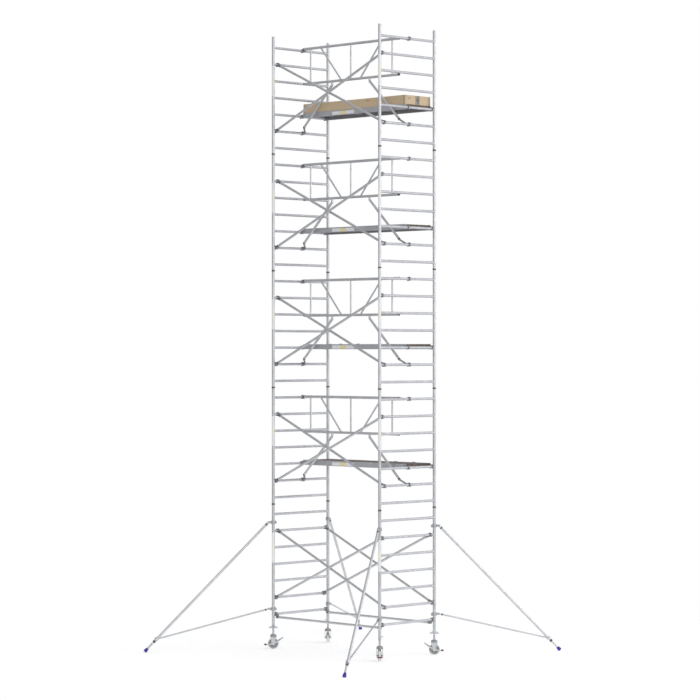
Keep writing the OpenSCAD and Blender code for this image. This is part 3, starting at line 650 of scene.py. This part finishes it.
def upright_labels():
    """Blank label strips wrapped round the outer side of the front uprights."""
    piece = Piece()
    for level in range(1, LEVELS + 1):
        for sx in (-1, 1):
            rings = []
            for a in np.linspace(-TAU / 4 - 1.5, -TAU / 4 + 1.5, 25):
                low, high = rung_z(level, 5) - UPRIGHT_LABEL_HALF, rung_z(level, 5) + UPRIGHT_LABEL_HALF
                rings.append([(sx * HALF_BAY + r * math.cos(a), -HALF_FRAME + r * math.sin(a), z)
                              for r, z in ((0.0255, low), (0.0255, high), (0.0259, high), (0.0259, low))])
            piece.loft(rings, UPRIGHT_LABEL)
    piece.finish("upright_labels", "tower")


def claw_fittings(piece, hook, neck_start, neck, tube_r):
    """Pivot pins of the latch, the thumb trigger and the collar where the claw enters its tube."""
    for side in (-1, 1):
        for x in (-LATCH_PIN_X, LATCH_PIN_X):
            pin = hook + Vector((x, side * CLAW_WIDTH / 2, -LATCH_PIN_DROP))
            piece.rivet(pin, side * Y, LATCH_PIN_R, ZINC)
    trigger = facing(hook + Vector((0, -CLAW_WIDTH / 2, -LATCH_PIN_DROP)), -Y, X)
    piece.plate(rounded(0.068, 0.011, 0.005), 0.0022, DARK, trigger)
    piece.plate(rounded(0.016, 0.022, 0.006), 0.0022, DARK, trigger @ Matrix.Translation((0, 0.010, 0.0018)))
    sleeve(piece, neck_start, neck, tube_r + 0.0001, tube_r + 0.0022, 0.016, DARK)
    out = Y.cross(neck).normalized()
    for side in (-1, 1):
        for along in (0.028, 0.046):
            piece.rivet(neck_start + neck * along + side * tube_r * Y, side * Y, 0.0042)
        piece.rivet(neck_start + neck * 0.037 + side * tube_r * out, side * out, 0.0042)


def brace_fittings():
    """Latch pins, triggers, collars and rivets at both ends of every brace."""
    piece = Piece()
    ends = [(level, low, y) for level in range(1, LEVELS + 1)
            for low, y in ((-1, -BRACE_OUTER_Y), (1, -BRACE_INNER_Y))]
    ends += [(1, 1, BRACE_OUTER_Y), (1, -1, BRACE_INNER_Y)]
    for level, low, y in ends:
        p = Vector((low * HALF_BAY, y, rung_z(level, 2)))
        q = Vector((-low * HALF_BAY, y, rung_z(level, 6)))
        along = (q - p).normalized()
        claw_fittings(piece, p, p + along * CLAW_REACH, along, BRACE_R)
        claw_fittings(piece, q, q - along * CLAW_REACH, -along, BRACE_R)
    for sx in (-1, 1):
        for sy in (-1, 1):
            hook = Vector((sx * HALF_BAY, sy * BRACE_OUTER_Y, rung_z(1, 1)))
            start = hook + Vector((-sx * CLAW_REACH, 0, -HORIZONTAL_DROP))
            claw_fittings(piece, hook, start, -sx * X, BRACE_R)
    piece.finish("brace_fittings", "tower")


def guardrail_fittings():
    """Weld beads, end collars, rivets and latch pins of the guardrails."""
    piece = Piece()
    for level in PLATFORM_LEVELS:
        top = rung_z(level, 7) + RAIL_LIFT
        low = top - RAIL_DROP
        for x_top, x_low in ((0, 0), (-POST_X, -POST_X), (POST_X, POST_X),
                             (-STRUT_TOP_X, -STRUT_LOW_X), (STRUT_TOP_X, STRUT_LOW_X)):
            above, below = Vector((x_top, RAIL_Y, top)), Vector((x_low, RAIL_Y, low))
            for foot in (saddle(above, below - above, POST_R, X, TOP_RAIL_R),
                         saddle(below, above - below, POST_R, X, LOW_RAIL_R)):
                piece.bar(foot, 0.0022, WELD, loop=True, steps=6)
        for sx in (-1, 1):
            leg = Vector((sx * LEG_X, RAIL_Y, low))
            piece.bar(saddle(leg, -Z, LEG_R, X, LOW_RAIL_R), 0.0022, WELD, loop=True, steps=6)
            bend = leg - Z * BEND_DROP
            end = Vector((sx * LEG_END_X, RAIL_Y, rung_z(level, 2) + LEG_HOOK_RISE))
            down = (end - bend).normalized()
            mitre = (down - Z).normalized()
            around = [LEG_R * Vector((math.cos(a), math.sin(a), 0)) for a in np.linspace(0, TAU, 24, False)]
            ring = [bend + off - Z * (off.dot(mitre) / mitre.z) for off in around]
            piece.bar(ring, 0.0018, WELD, loop=True, steps=6)
            sleeve(piece, end - down * 0.018, down, 0.0201, 0.0218, 0.018, DARK)
            top_collar = Vector((sx * (RAIL_END - 0.016), RAIL_Y, top))
            low_collar = Vector((sx * (LOW_RAIL_END - 0.010), RAIL_Y, low))
            sleeve(piece, top_collar, sx * X, 0.0226, 0.0243, 0.016, DARK)
            sleeve(piece, low_collar, sx * X, 0.0211, 0.0224, 0.010, DARK)
            for side in (-1, 1):
                for back in (0.030, 0.048):
                    on_rail = Vector((sx * (RAIL_END - back), RAIL_Y + side * TOP_RAIL_R, top))
                    piece.rivet(on_rail, side * Y, 0.0042)
                    piece.rivet(end - down * back + side * LEG_R * Y, side * Y, 0.0042)
                for hook_z in (rung_z(level, 7), rung_z(level, 2)):
                    for x in (-LATCH_PIN_X, LATCH_PIN_X):
                        pin_y = RAIL_HOOK_Y + side * CLAW_WIDTH / 2
                        pin = Vector((sx * HALF_BAY + x, pin_y, hook_z - LATCH_PIN_DROP))
                        piece.rivet(pin, side * Y, LATCH_PIN_R, ZINC)
    piece.finish("guardrail_fittings", "tower")


def platform_fittings():
    """Lips, rivets, latch pins and labels of the side beams, and the deck screws."""
    for level in PLATFORM_LEVELS:
        piece = Piece()
        base = rung_z(level, 3)
        for face, out in ((PLATFORM_FRONT, -1), (PLATFORM_BACK, 1)):
            for z in (BEAM_TOP - 0.004, BEAM_TOP - 0.016, 0.005 - BEAM_DROP):
                ends = [(x * (BEAM_END - 0.0005), face, base + z) for x in np.linspace(-1, 1, 9)]
                piece.bar(ends, 0.0028, BEAM, steps=8)
            for sx in (-1, 1):
                for back in (0.020, 0.045):
                    for z in (0.012, 0.034):
                        piece.rivet(Vector((sx * (BEAM_END - back), face, base + z)), out * Y, 0.0055, DARK)
                for x in (-LATCH_PIN_X, LATCH_PIN_X):
                    pin = Vector((sx * HALF_BAY + x, face, base - LATCH_PIN_DROP))
                    piece.rivet(pin, out * Y, LATCH_PIN_R, ZINC)
        for y in (PLATFORM_FRONT + 0.048, PLATFORM_BACK - 0.058):
            for x in np.linspace(-END_MEMBER_X, END_MEMBER_X, 13):
                piece.rivet(Vector((x, y, base + DECK_TOP)), Z, 0.0045, ZINC)
        label = facing((BEAM_LABEL_X, PLATFORM_FRONT, base - BEAM_DROP + 0.0375), -Y, X)
        piece.plate(rounded(BEAM_LABEL_LENGTH, 0.056, 0.003), 0.0006, BEAM_LABEL, label, 0.0002)
        piece.finish(f"platform_fittings_{level}", "tower")


def hatch_fittings():
    """A sunk ring pull, its plate, and screws over the hinge tongues."""
    for level in PLATFORM_LEVELS:
        piece = Piece()
        side = 1 if level % 2 == 0 else -1
        top = rung_z(level, 3) + DECK_TOP
        pull = Matrix.Translation((side * HATCH_MIDDLE, 0.105, top))
        piece.plate(rounded(0.110, 0.070, 0.012), 0.0022, ZINC, pull)
        ring = [(0.026 * math.cos(a), 0.008 + 0.020 * math.sin(a), 0.0055)
                for a in np.linspace(0, TAU, 24, False)]
        piece.bar(ring, 0.0032, ZINC, pull, loop=True)
        for x in (-0.013, 0.013):
            piece.lathe(((0.004, 0.001), (0.0065, 0.002), (0.0065, 0.008), (0.004, 0.0095)), ZINC,
                        pull @ Matrix.Translation((x, -0.014, 0)), 16)
        for x in (-0.045, 0.045):
            for y in (-0.025, 0.025):
                piece.rivet(pull @ Vector((x, y, 0.002)), Z, 0.0035)
        for hinge in (-HINGE_OFFSET, HINGE_OFFSET):
            for x in (-0.013, 0.013):
                piece.rivet(Vector((side * HATCH_MIDDLE + hinge + x, 0.540, top + 0.003)), Z, 0.0035)
        piece.finish(f"hatch_fittings_{level}", f"hatch_{level}")


def toe_board_fittings():
    """Bolts and screws of the brackets and corner clips."""
    piece = Piece()
    base = rung_z(LEVELS, 3) + BEAM_TOP
    for sx in (-1, 1):
        for y in (-0.030, 0.030):
            for z in (0.035, 0.115):
                bolt = Vector((sx * (TOE_END + 0.0042), DECK_MIDDLE_Y + y, base + z))
                piece.hex_bolt(bolt, sx * X, 0.006)
        for sy in (-1, 1):
            for z in (0.030, 0.120):
                on_end = Vector((sx * (TOE_END + 0.0027), DECK_MIDDLE_Y + sy * 0.277, base + z))
                on_side = Vector((sx * (TOE_END - 0.025), DECK_MIDDLE_Y + sy * 0.2997, base + z))
                piece.rivet(on_end, sx * X, 0.0048, ZINC)
                piece.rivet(on_side, sy * Y, 0.0048, ZINC)
    piece.finish("toe_board_fittings", "tower")


# ---- fittings on the castors, jacks and stabilisers ----


def castor_wheel(corner, castor):
    """A grooved tread on its tyre, a rim with six ribs on each side, and the bearing caps."""
    axle = castor @ Matrix.Translation((0, 0, AXLE_Z)) @ Matrix.Rotation(-TAU / 4, 4, "X")
    piece = Piece()
    half = ((0.0878, 0.0172), (0.0893, 0.0160), (0.0900, 0.0135), (0.0900, 0.0090), (0.0888, 0.0082),
            (0.0888, 0.0068), (0.0900, 0.0060), (0.0900, 0.0012), (0.0890, 0.0005))
    tread = [(0.0860, 0.0172), *half, *((r, -h) for r, h in reversed(half)), (0.0860, -0.0172)]
    piece.lathe(tread, TREAD, axle, 64, True)
    tyre = ((0.0702, 0.0212), (0.0720, 0.0228), (0.0790, 0.0232), (0.0845, 0.0215), (0.0875, 0.0172))
    piece.lathe([*tyre, *((r, -h) for r, h in reversed(tyre))], TYRE, axle, 64, True)
    rim = ((0.0215, 0.0300), (0.0295, 0.0300), (0.0305, 0.0280), (0.0320, 0.0110), (0.0560, 0.0065),
           (0.0600, 0.0085), (0.0620, 0.0195), (0.0640, 0.0205), (0.0700, 0.0205))
    piece.lathe([*rim, *((r, -h) for r, h in reversed(rim))], RIM, axle, 64, True)
    for side in (1, -1):
        for i in range(6):
            spoke = axle @ Matrix.Rotation(TAU * i / 6, 4, "Z") @ Matrix.Translation((0, 0.002, 0))
            rib = [(0.0300, side * 0.006), (0.0618, side * 0.006), (0.0618, side * 0.0170),
                   (0.0300, side * 0.0250)]
            piece.plate(rib, 0.004, RIM, spoke @ Matrix.Rotation(TAU / 4, 4, "X"))
        cap = ((0.0101, 0.0170), (0.0213, 0.0170), (0.0213, 0.0292), (0.0190, 0.0302),
               (0.0150, 0.0296), (0.0101, 0.0296))
        piece.lathe([(r, side * h) for r, h in cap], ZINC, axle, 32, True)
    piece.finish(f"wheel_{corner}", f"castor_wheel_{corner}", f"castor_wheel_{corner}")


def brake_fittings(corner, castor):
    """A ribbed tread on the brake pedal, and a rolled edge and two cheeks on the release lever."""
    piece = Piece()
    pad = castor @ Matrix.Translation((0.133, 0, AXLE_Z - 0.018))
    block = pad @ Matrix.Translation((0, 0, -0.0075))
    piece.plate(rounded(0.040, 0.094, 0.009), 0.0155, PEDAL, block, 0.0025)
    for i in range(7):
        ridge = [(-0.014, 0.0115 * (i - 3), 0.0080), (0.014, 0.0115 * (i - 3), 0.0080)]
        piece.bar(ridge, 0.0022, PEDAL, pad)
    root, tip = Vector((-0.090, 0, 0.1345)), Vector((-0.166, 0, 0.1930))
    along = (tip - root).normalized()
    blade = castor @ facing((root + tip) / 2, along.cross(Y), along)
    length = (tip - root).length
    web = blade @ Matrix.Translation((0, 0, -0.005))
    piece.plate(rounded(length, 0.042, 0.012), 0.010, HOUSING, web, 0.002)
    edge = [(*p, 0) for p in rounded(length - 0.004, 0.040, 0.012)]
    piece.bar(edge, 0.0062, HOUSING, blade, loop=True)
    cheek = [(-length / 2, 0), (length / 2 - 0.006, 0), (length / 2 - 0.006, 0.004), (-length / 2, 0.016)]
    upright = castor @ facing((root + tip) / 2, Y, along)
    for y in (-0.020, 0.0165):
        piece.plate(cheek, 0.0035, HOUSING, upright @ Matrix.Translation((0, 0, y)))
    for i in range(3):
        x = length / 2 - 0.014 - 0.010 * i
        piece.bar([(x, -0.014, 0.0052), (x, 0.014, 0.0052)], 0.0018, DARK, blade)
    piece.finish(f"brake_fittings_{corner}", f"brake_lever_{corner}")


def fork_fittings(corner, castor):
    """A folded rim round the fork head, gusset ribs on its plates and washers at the axle."""
    piece = Piece()
    sleeve(piece, castor @ Vector((0, 0, 0.2000)), Z, 0.0528, 0.0552, 0.010, HOUSING, 48)
    for side in (-1, 1):
        face = castor.to_3x3() @ Vector((0, side, 0))
        for x, lean in ((-0.030, -0.018), (0.030, 0.018)):
            y = side * 0.0505
            rib = [(x * 0.55, y, 0.112), (x * 0.9, y, 0.160), (x + lean * 0.7, y, 0.198)]
            piece.bar(rib, 0.0035, ZINC, castor)
        sleeve(piece, castor @ Vector((0, side * 0.0500, AXLE_Z)), face, 0.0101, 0.0205, 0.0018, ZINC)
        piece.rivet(castor @ Vector((0.028, side * 0.0500, 0.186)), face, 0.006, ZINC)
        piece.rivet(castor @ Vector((-0.028, side * 0.0500, 0.186)), face, 0.006, ZINC)
    piece.finish(f"fork_fittings_{corner}", f"castor_fork_{corner}")


def jack_spindle(corner, castor):
    """The spindle with its trapezoidal thread."""
    piece = Piece()
    steps, pitch, crest, root = 24, 0.008, 0.0190, 0.0168
    base, top = 0.2403, 0.8403
    thread_start, thread_end = 0.2560, 0.5680

    def ring(z, threaded):
        radii = []
        for i in range(steps):
            phase = (z / pitch - i / steps) % 1
            tooth = min(1, max(0, 2.4 - abs(phase - 0.5) * 8))
            radii.append(root + (crest - root) * (tooth if threaded else 1))
        turns = [TAU * i / steps for i in range(steps)]
        return [(r * math.cos(a), r * math.sin(a), z) for r, a in zip(radii, turns)]

    rings = [ring(base + 0.008, False), ring(thread_start, False)]
    rings += [ring(z, True) for z in np.arange(thread_start + 0.001, thread_end, pitch / 8)]
    rings += [ring(thread_end + 0.001, False), ring(top, False)]
    piece.loft(rings, ZINC, castor)
    collar = ((0.0305, base), (0.0320, base + 0.0015), (0.0320, base + 0.0065), (0.0305, base + 0.0080))
    piece.lathe(collar, ZINC, castor, 40)
    piece.lathe(((0.0120, 0.1997), (0.0120, base)), ZINC, castor)
    head = ((0.0185, 0.1880), (0.0200, 0.1895), (0.0200, 0.1985), (0.0188, 0.1997))
    piece.lathe(head, ZINC, castor, 6)
    piece.finish(f"spindle_{corner}", f"jack_spindle_{corner}", f"jack_spindle_{corner}")


def jack_nut_fittings(corner, castor):
    """Collars and wing ribs of the jack nut, and its small catch."""
    piece = Piece()
    for z in (0.3455, 0.3600, 0.4700):
        sleeve(piece, castor @ Vector((0, 0, z)), Z, 0.0255, 0.0276, 0.010, ZINC, 40)
    for side in (-1, 1):
        rib = [(side * 0.0245, 0.3560), (side * 0.0760, 0.3560), (side * 0.0700, 0.3630),
               (side * 0.0290, 0.3880)]
        wall = castor @ Matrix.Translation((0, 0.003, 0)) @ Matrix.Rotation(TAU / 4, 4, "X")
        piece.plate(rib, 0.006, ZINC, wall)
        grip = castor @ Matrix.Translation((side * 0.068, 0, 0.3448))
        piece.plate(rounded(0.028, 0.0265, 0.0125), 0.0128, ZINC, grip, 0.002)
    arm = castor @ Matrix.Translation((0, 0.0405, 0.3910))
    piece.plate(rounded(0.017, 0.036, 0.004), 0.008, HOUSING, arm)
    finger = castor @ facing((0, 0.0535, 0.3830), Y, Z)
    piece.plate(rounded(0.030, 0.018, 0.006), 0.0045, HOUSING, finger)
    piece.bar([(-0.010, 0.0340, 0.3955), (0.010, 0.0340, 0.3955)], 0.0035, ZINC, castor)
    piece.finish(f"jack_nut_fittings_{corner}", f"jack_nut_{corner}")


def stabiliser_fittings(corner, space):
    """Wing nuts, pivot bolts, tube collars and weld beads of a stabiliser."""
    piece = Piece()
    leg = Vector((1, 0, -1)).normalized()
    pivot = Vector((PIVOT_OFFSET, 0, UPPER_COUPLER_Z))
    arm_pivot = Vector((PIVOT_OFFSET, 0, LOWER_COUPLER_Z))
    arm = (pivot + leg * ARM_MEETS_LEG - arm_pivot).normalized()
    spin = space.to_3x3()
    for z in (UPPER_COUPLER_Z, LOWER_COUPLER_Z):
        wings = space @ facing((-0.0465, -0.0150, z), -Y, Vector((0.35, 0, 1)))
        piece.plate(rounded(0.060, 0.017, 0.008), 0.008, COUPLER, wings, 0.002)
        piece.lathe(((0.0120, -0.002), (0.0130, 0.002), (0.0100, 0.013), (0.0055, 0.014)), COUPLER, wings)
    for at, along, radius in ((pivot, leg, OUTER_LEG_R), (arm_pivot, arm, ARM_R)):
        for side in (-1, 1):
            head = at + Y * side * 0.0215
            piece.hex_bolt(space @ head, spin @ (side * Y), 0.009)
        collar = space @ (at + along * 0.0395)
        sleeve(piece, collar, spin @ along, radius + 0.0001, radius + 0.0030, 0.022, DARK, 32)
        for side in (-1, 1):
            spot = at + along * 0.078 + side * radius * Y
            piece.rivet(space @ spot, spin @ (side * Y), 0.0045)
    end = pivot + leg * OUTER_LEG_END
    sleeve(piece, space @ (end - leg * 0.034), spin @ leg, 0.0212, 0.0240, 0.036, DARK, 32)
    button = Vector((leg.z, 0, -leg.x)) * -1
    piece.lathe(((0.0075, 0), (0.0075, 0.003), (0.0050, 0.0075), (0.0025, 0.0085)), ZINC,
                facing(space @ (end - leg * 0.016 + button * 0.0235), spin @ button), 16)
    clamp = pivot + leg * ARM_MEETS_LEG
    for shift in (-0.0225, 0.0185):
        sleeve(piece, space @ (clamp + leg * shift), spin @ leg, 0.0215, 0.0322, 0.004, COUPLER, 32)
    piece.hex_bolt(space @ (clamp + button * 0.0308), spin @ button, 0.008)
    piece.finish(f"stabiliser_fittings_{corner}", f"stabiliser_{corner}")


def stabiliser_foot(corner, space):
    """The inner leg tube with its stop holes, and a ribbed foot that lies flat on the floor."""
    piece = Piece()
    leg = Vector((1, 0, -1)).normalized()
    pivot = Vector((PIVOT_OFFSET, 0, UPPER_COUPLER_Z))
    run = facing(pivot, leg, Y)
    tube = ((0.0160, 2.0706), (INNER_LEG_R, 2.0706), (INNER_LEG_R, 2.9600), (0.0160, 2.9600))
    piece.lathe(tube, UPRIGHT, space @ run, 32, True)
    for s in (2.815, 2.865):
        for side in (-1, 1):
            hole = pivot + leg * s + side * INNER_LEG_R * Y
            sleeve(piece, space @ hole - side * (space.to_3x3() @ Y) * 0.0004, space.to_3x3() @ (side * Y),
                   0.0052, 0.0072, 0.0012, UPRIGHT, 20)
            piece.lathe(((0.0056, -0.001), (0.0056, 0.0003)), PLUG,
                        facing(space @ hole, space.to_3x3() @ (side * Y)), 20)
    foot = [(0.0183, 2.9120), (0.0215, 2.9130), (0.0225, 2.9200)]
    for s in (2.924, 2.936, 2.948, 2.960):
        flare = 0.0235 + (s - 2.924) * 0.17
        foot += [(flare, s), (flare + 0.0018, s + 0.002), (flare + 0.0018, s + 0.006), (flare, s + 0.008)]
    foot += [(0.0312, 2.9745), (0.0315, 2.9800), (0.0295, 2.9826)]
    first = len(piece.points)
    piece.lathe(foot, RUBBER, space @ run, 48)
    for point in piece.points[first:]:
        point.z = max(point.z, 0)
    piece.finish(f"foot_{corner}", f"stabiliser_foot_{corner}", f"stabiliser_foot_{corner}")


frame_fittings()
upright_labels()
brace_fittings()
guardrail_fittings()
platform_fittings()
hatch_fittings()
toe_board_fittings()
for corner in CORNERS:
    castor_wheel(corner, corner_space(corner))
    brake_fittings(corner, corner_space(corner))
    fork_fittings(corner, corner_space(corner))
    jack_spindle(corner, corner_space(corner))
    jack_nut_fittings(corner, corner_space(corner))
    stabiliser_fittings(corner, corner_space(corner, STABILISER_YAW))
    stabiliser_foot(corner, corner_space(corner, STABILISER_YAW))


# ---- stage, light and camera ----

BRIGHT_SIDE = (0.75, 0.52, 0.41)
FLOOR_RADIUS = 9.0


def stage():
    """A pale round floor that fades out into the white paper."""
    m = Material("studio_floor", 0.9)
    m.set(Base_Color=m.mix(m.noise(1.5, 3), (0.86, 0.86, 0.86), (0.89, 0.89, 0.89)))
    m.set(Emission_Color=(1, 1, 1, 1), Emission_Strength=0.35)
    m.bump(m.noise(40.0, 2), 0.03)
    flat = m.node("ShaderNodeVectorMath", m.place, (1, 1, 0), operation="MULTIPLY")
    away = m.node("ShaderNodeVectorMath", flat, operation="LENGTH", pick="Value")
    fade = m.ramp(m.math("DIVIDE", away, FLOOR_RADIUS), (0.35, 0.0), (1.0, 1.0))
    clear = m.node("ShaderNodeBsdfTransparent")
    shown = m.node("ShaderNodeMixShader", fade, m.shader.outputs[0], clear)
    output = next(n for n in m.tree.nodes if n.type == "OUTPUT_MATERIAL")
    m.tree.links.new(shown, output.inputs[0])
    steps = 96
    turns = [TAU * i / steps for i in range(steps)]
    points = [(FLOOR_RADIUS * math.cos(a), FLOOR_RADIUS * math.sin(a), -0.0005) for a in turns]
    mesh = bpy.data.meshes.new("floor")
    mesh.from_pydata(points, [], [range(steps)])
    mesh.materials.append(m.data)
    floor = bpy.data.objects.new("floor", mesh)
    bpy.context.scene.collection.objects.link(floor)


def lights():
    """A studio that is bright on the right and dim on the left, with white paper behind the tower."""
    world = bpy.data.worlds.new("studio")
    bpy.context.scene.world = world
    world.use_nodes = True
    tree = world.node_tree
    tree.nodes.clear()
    place = tree.nodes.new("ShaderNodeTexCoord")
    toward = tree.nodes.new("ShaderNodeVectorMath")
    half = tree.nodes.new("ShaderNodeMath")
    ramp = tree.nodes.new("ShaderNodeValToRGB")
    seen = tree.nodes.new("ShaderNodeLightPath")
    room, paper = tree.nodes.new("ShaderNodeBackground"), tree.nodes.new("ShaderNodeBackground")
    mix, output = tree.nodes.new("ShaderNodeMixShader"), tree.nodes.new("ShaderNodeOutputWorld")
    toward.operation = "DOT_PRODUCT"
    toward.inputs[1].default_value = BRIGHT_SIDE
    half.operation = "MULTIPLY_ADD"
    half.inputs[1].default_value = half.inputs[2].default_value = 0.5
    ramp.color_ramp.elements[0].color = (0.44, 0.445, 0.455, 1)
    ramp.color_ramp.elements[1].color = (0.85, 0.85, 0.86, 1)
    paper.inputs["Color"].default_value = (1, 1, 1, 1)
    for a, b in ((place.outputs["Generated"], toward.inputs[0]), (toward.outputs["Value"], half.inputs[0]),
                 (half.outputs[0], ramp.inputs[0]), (ramp.outputs[0], room.inputs["Color"]),
                 (seen.outputs["Is Camera Ray"], mix.inputs[0]), (room.outputs[0], mix.inputs[1]),
                 (paper.outputs[0], mix.inputs[2]), (mix.outputs[0], output.inputs[0])):
        tree.links.new(a, b)
    for name, where, size, power in (("key", (15, 10, 9), 9, 780), ("front", (16, -18, 9), 10, 700)):
        lamp = bpy.data.lights.new(name, "AREA")
        lamp.size = size
        lamp.energy = power
        holder = bpy.data.objects.new(name, lamp)
        holder.location = where
        holder.rotation_euler = (Vector((0, 0, 5)) - Vector(where)).to_track_quat("-Z", "Y").to_euler()
        bpy.context.scene.collection.objects.link(holder)


def camera():
    """A long lens at eye level with the tower's middle, looking along the tower's diagonal."""
    data = bpy.data.cameras.new("camera")
    data.lens = 134.2
    data.sensor_width = 36
    data.clip_end = 200
    holder = bpy.data.objects.new("camera", data)
    holder.location = (30.677, -30.748, 5.020)
    holder.rotation_euler = (math.radians(90), 0, math.radians(45))
    bpy.context.scene.collection.objects.link(holder)
    bpy.context.scene.camera = holder


stage()
lights()
camera()
bpy.context.scene.view_settings.view_transform = "Standard"
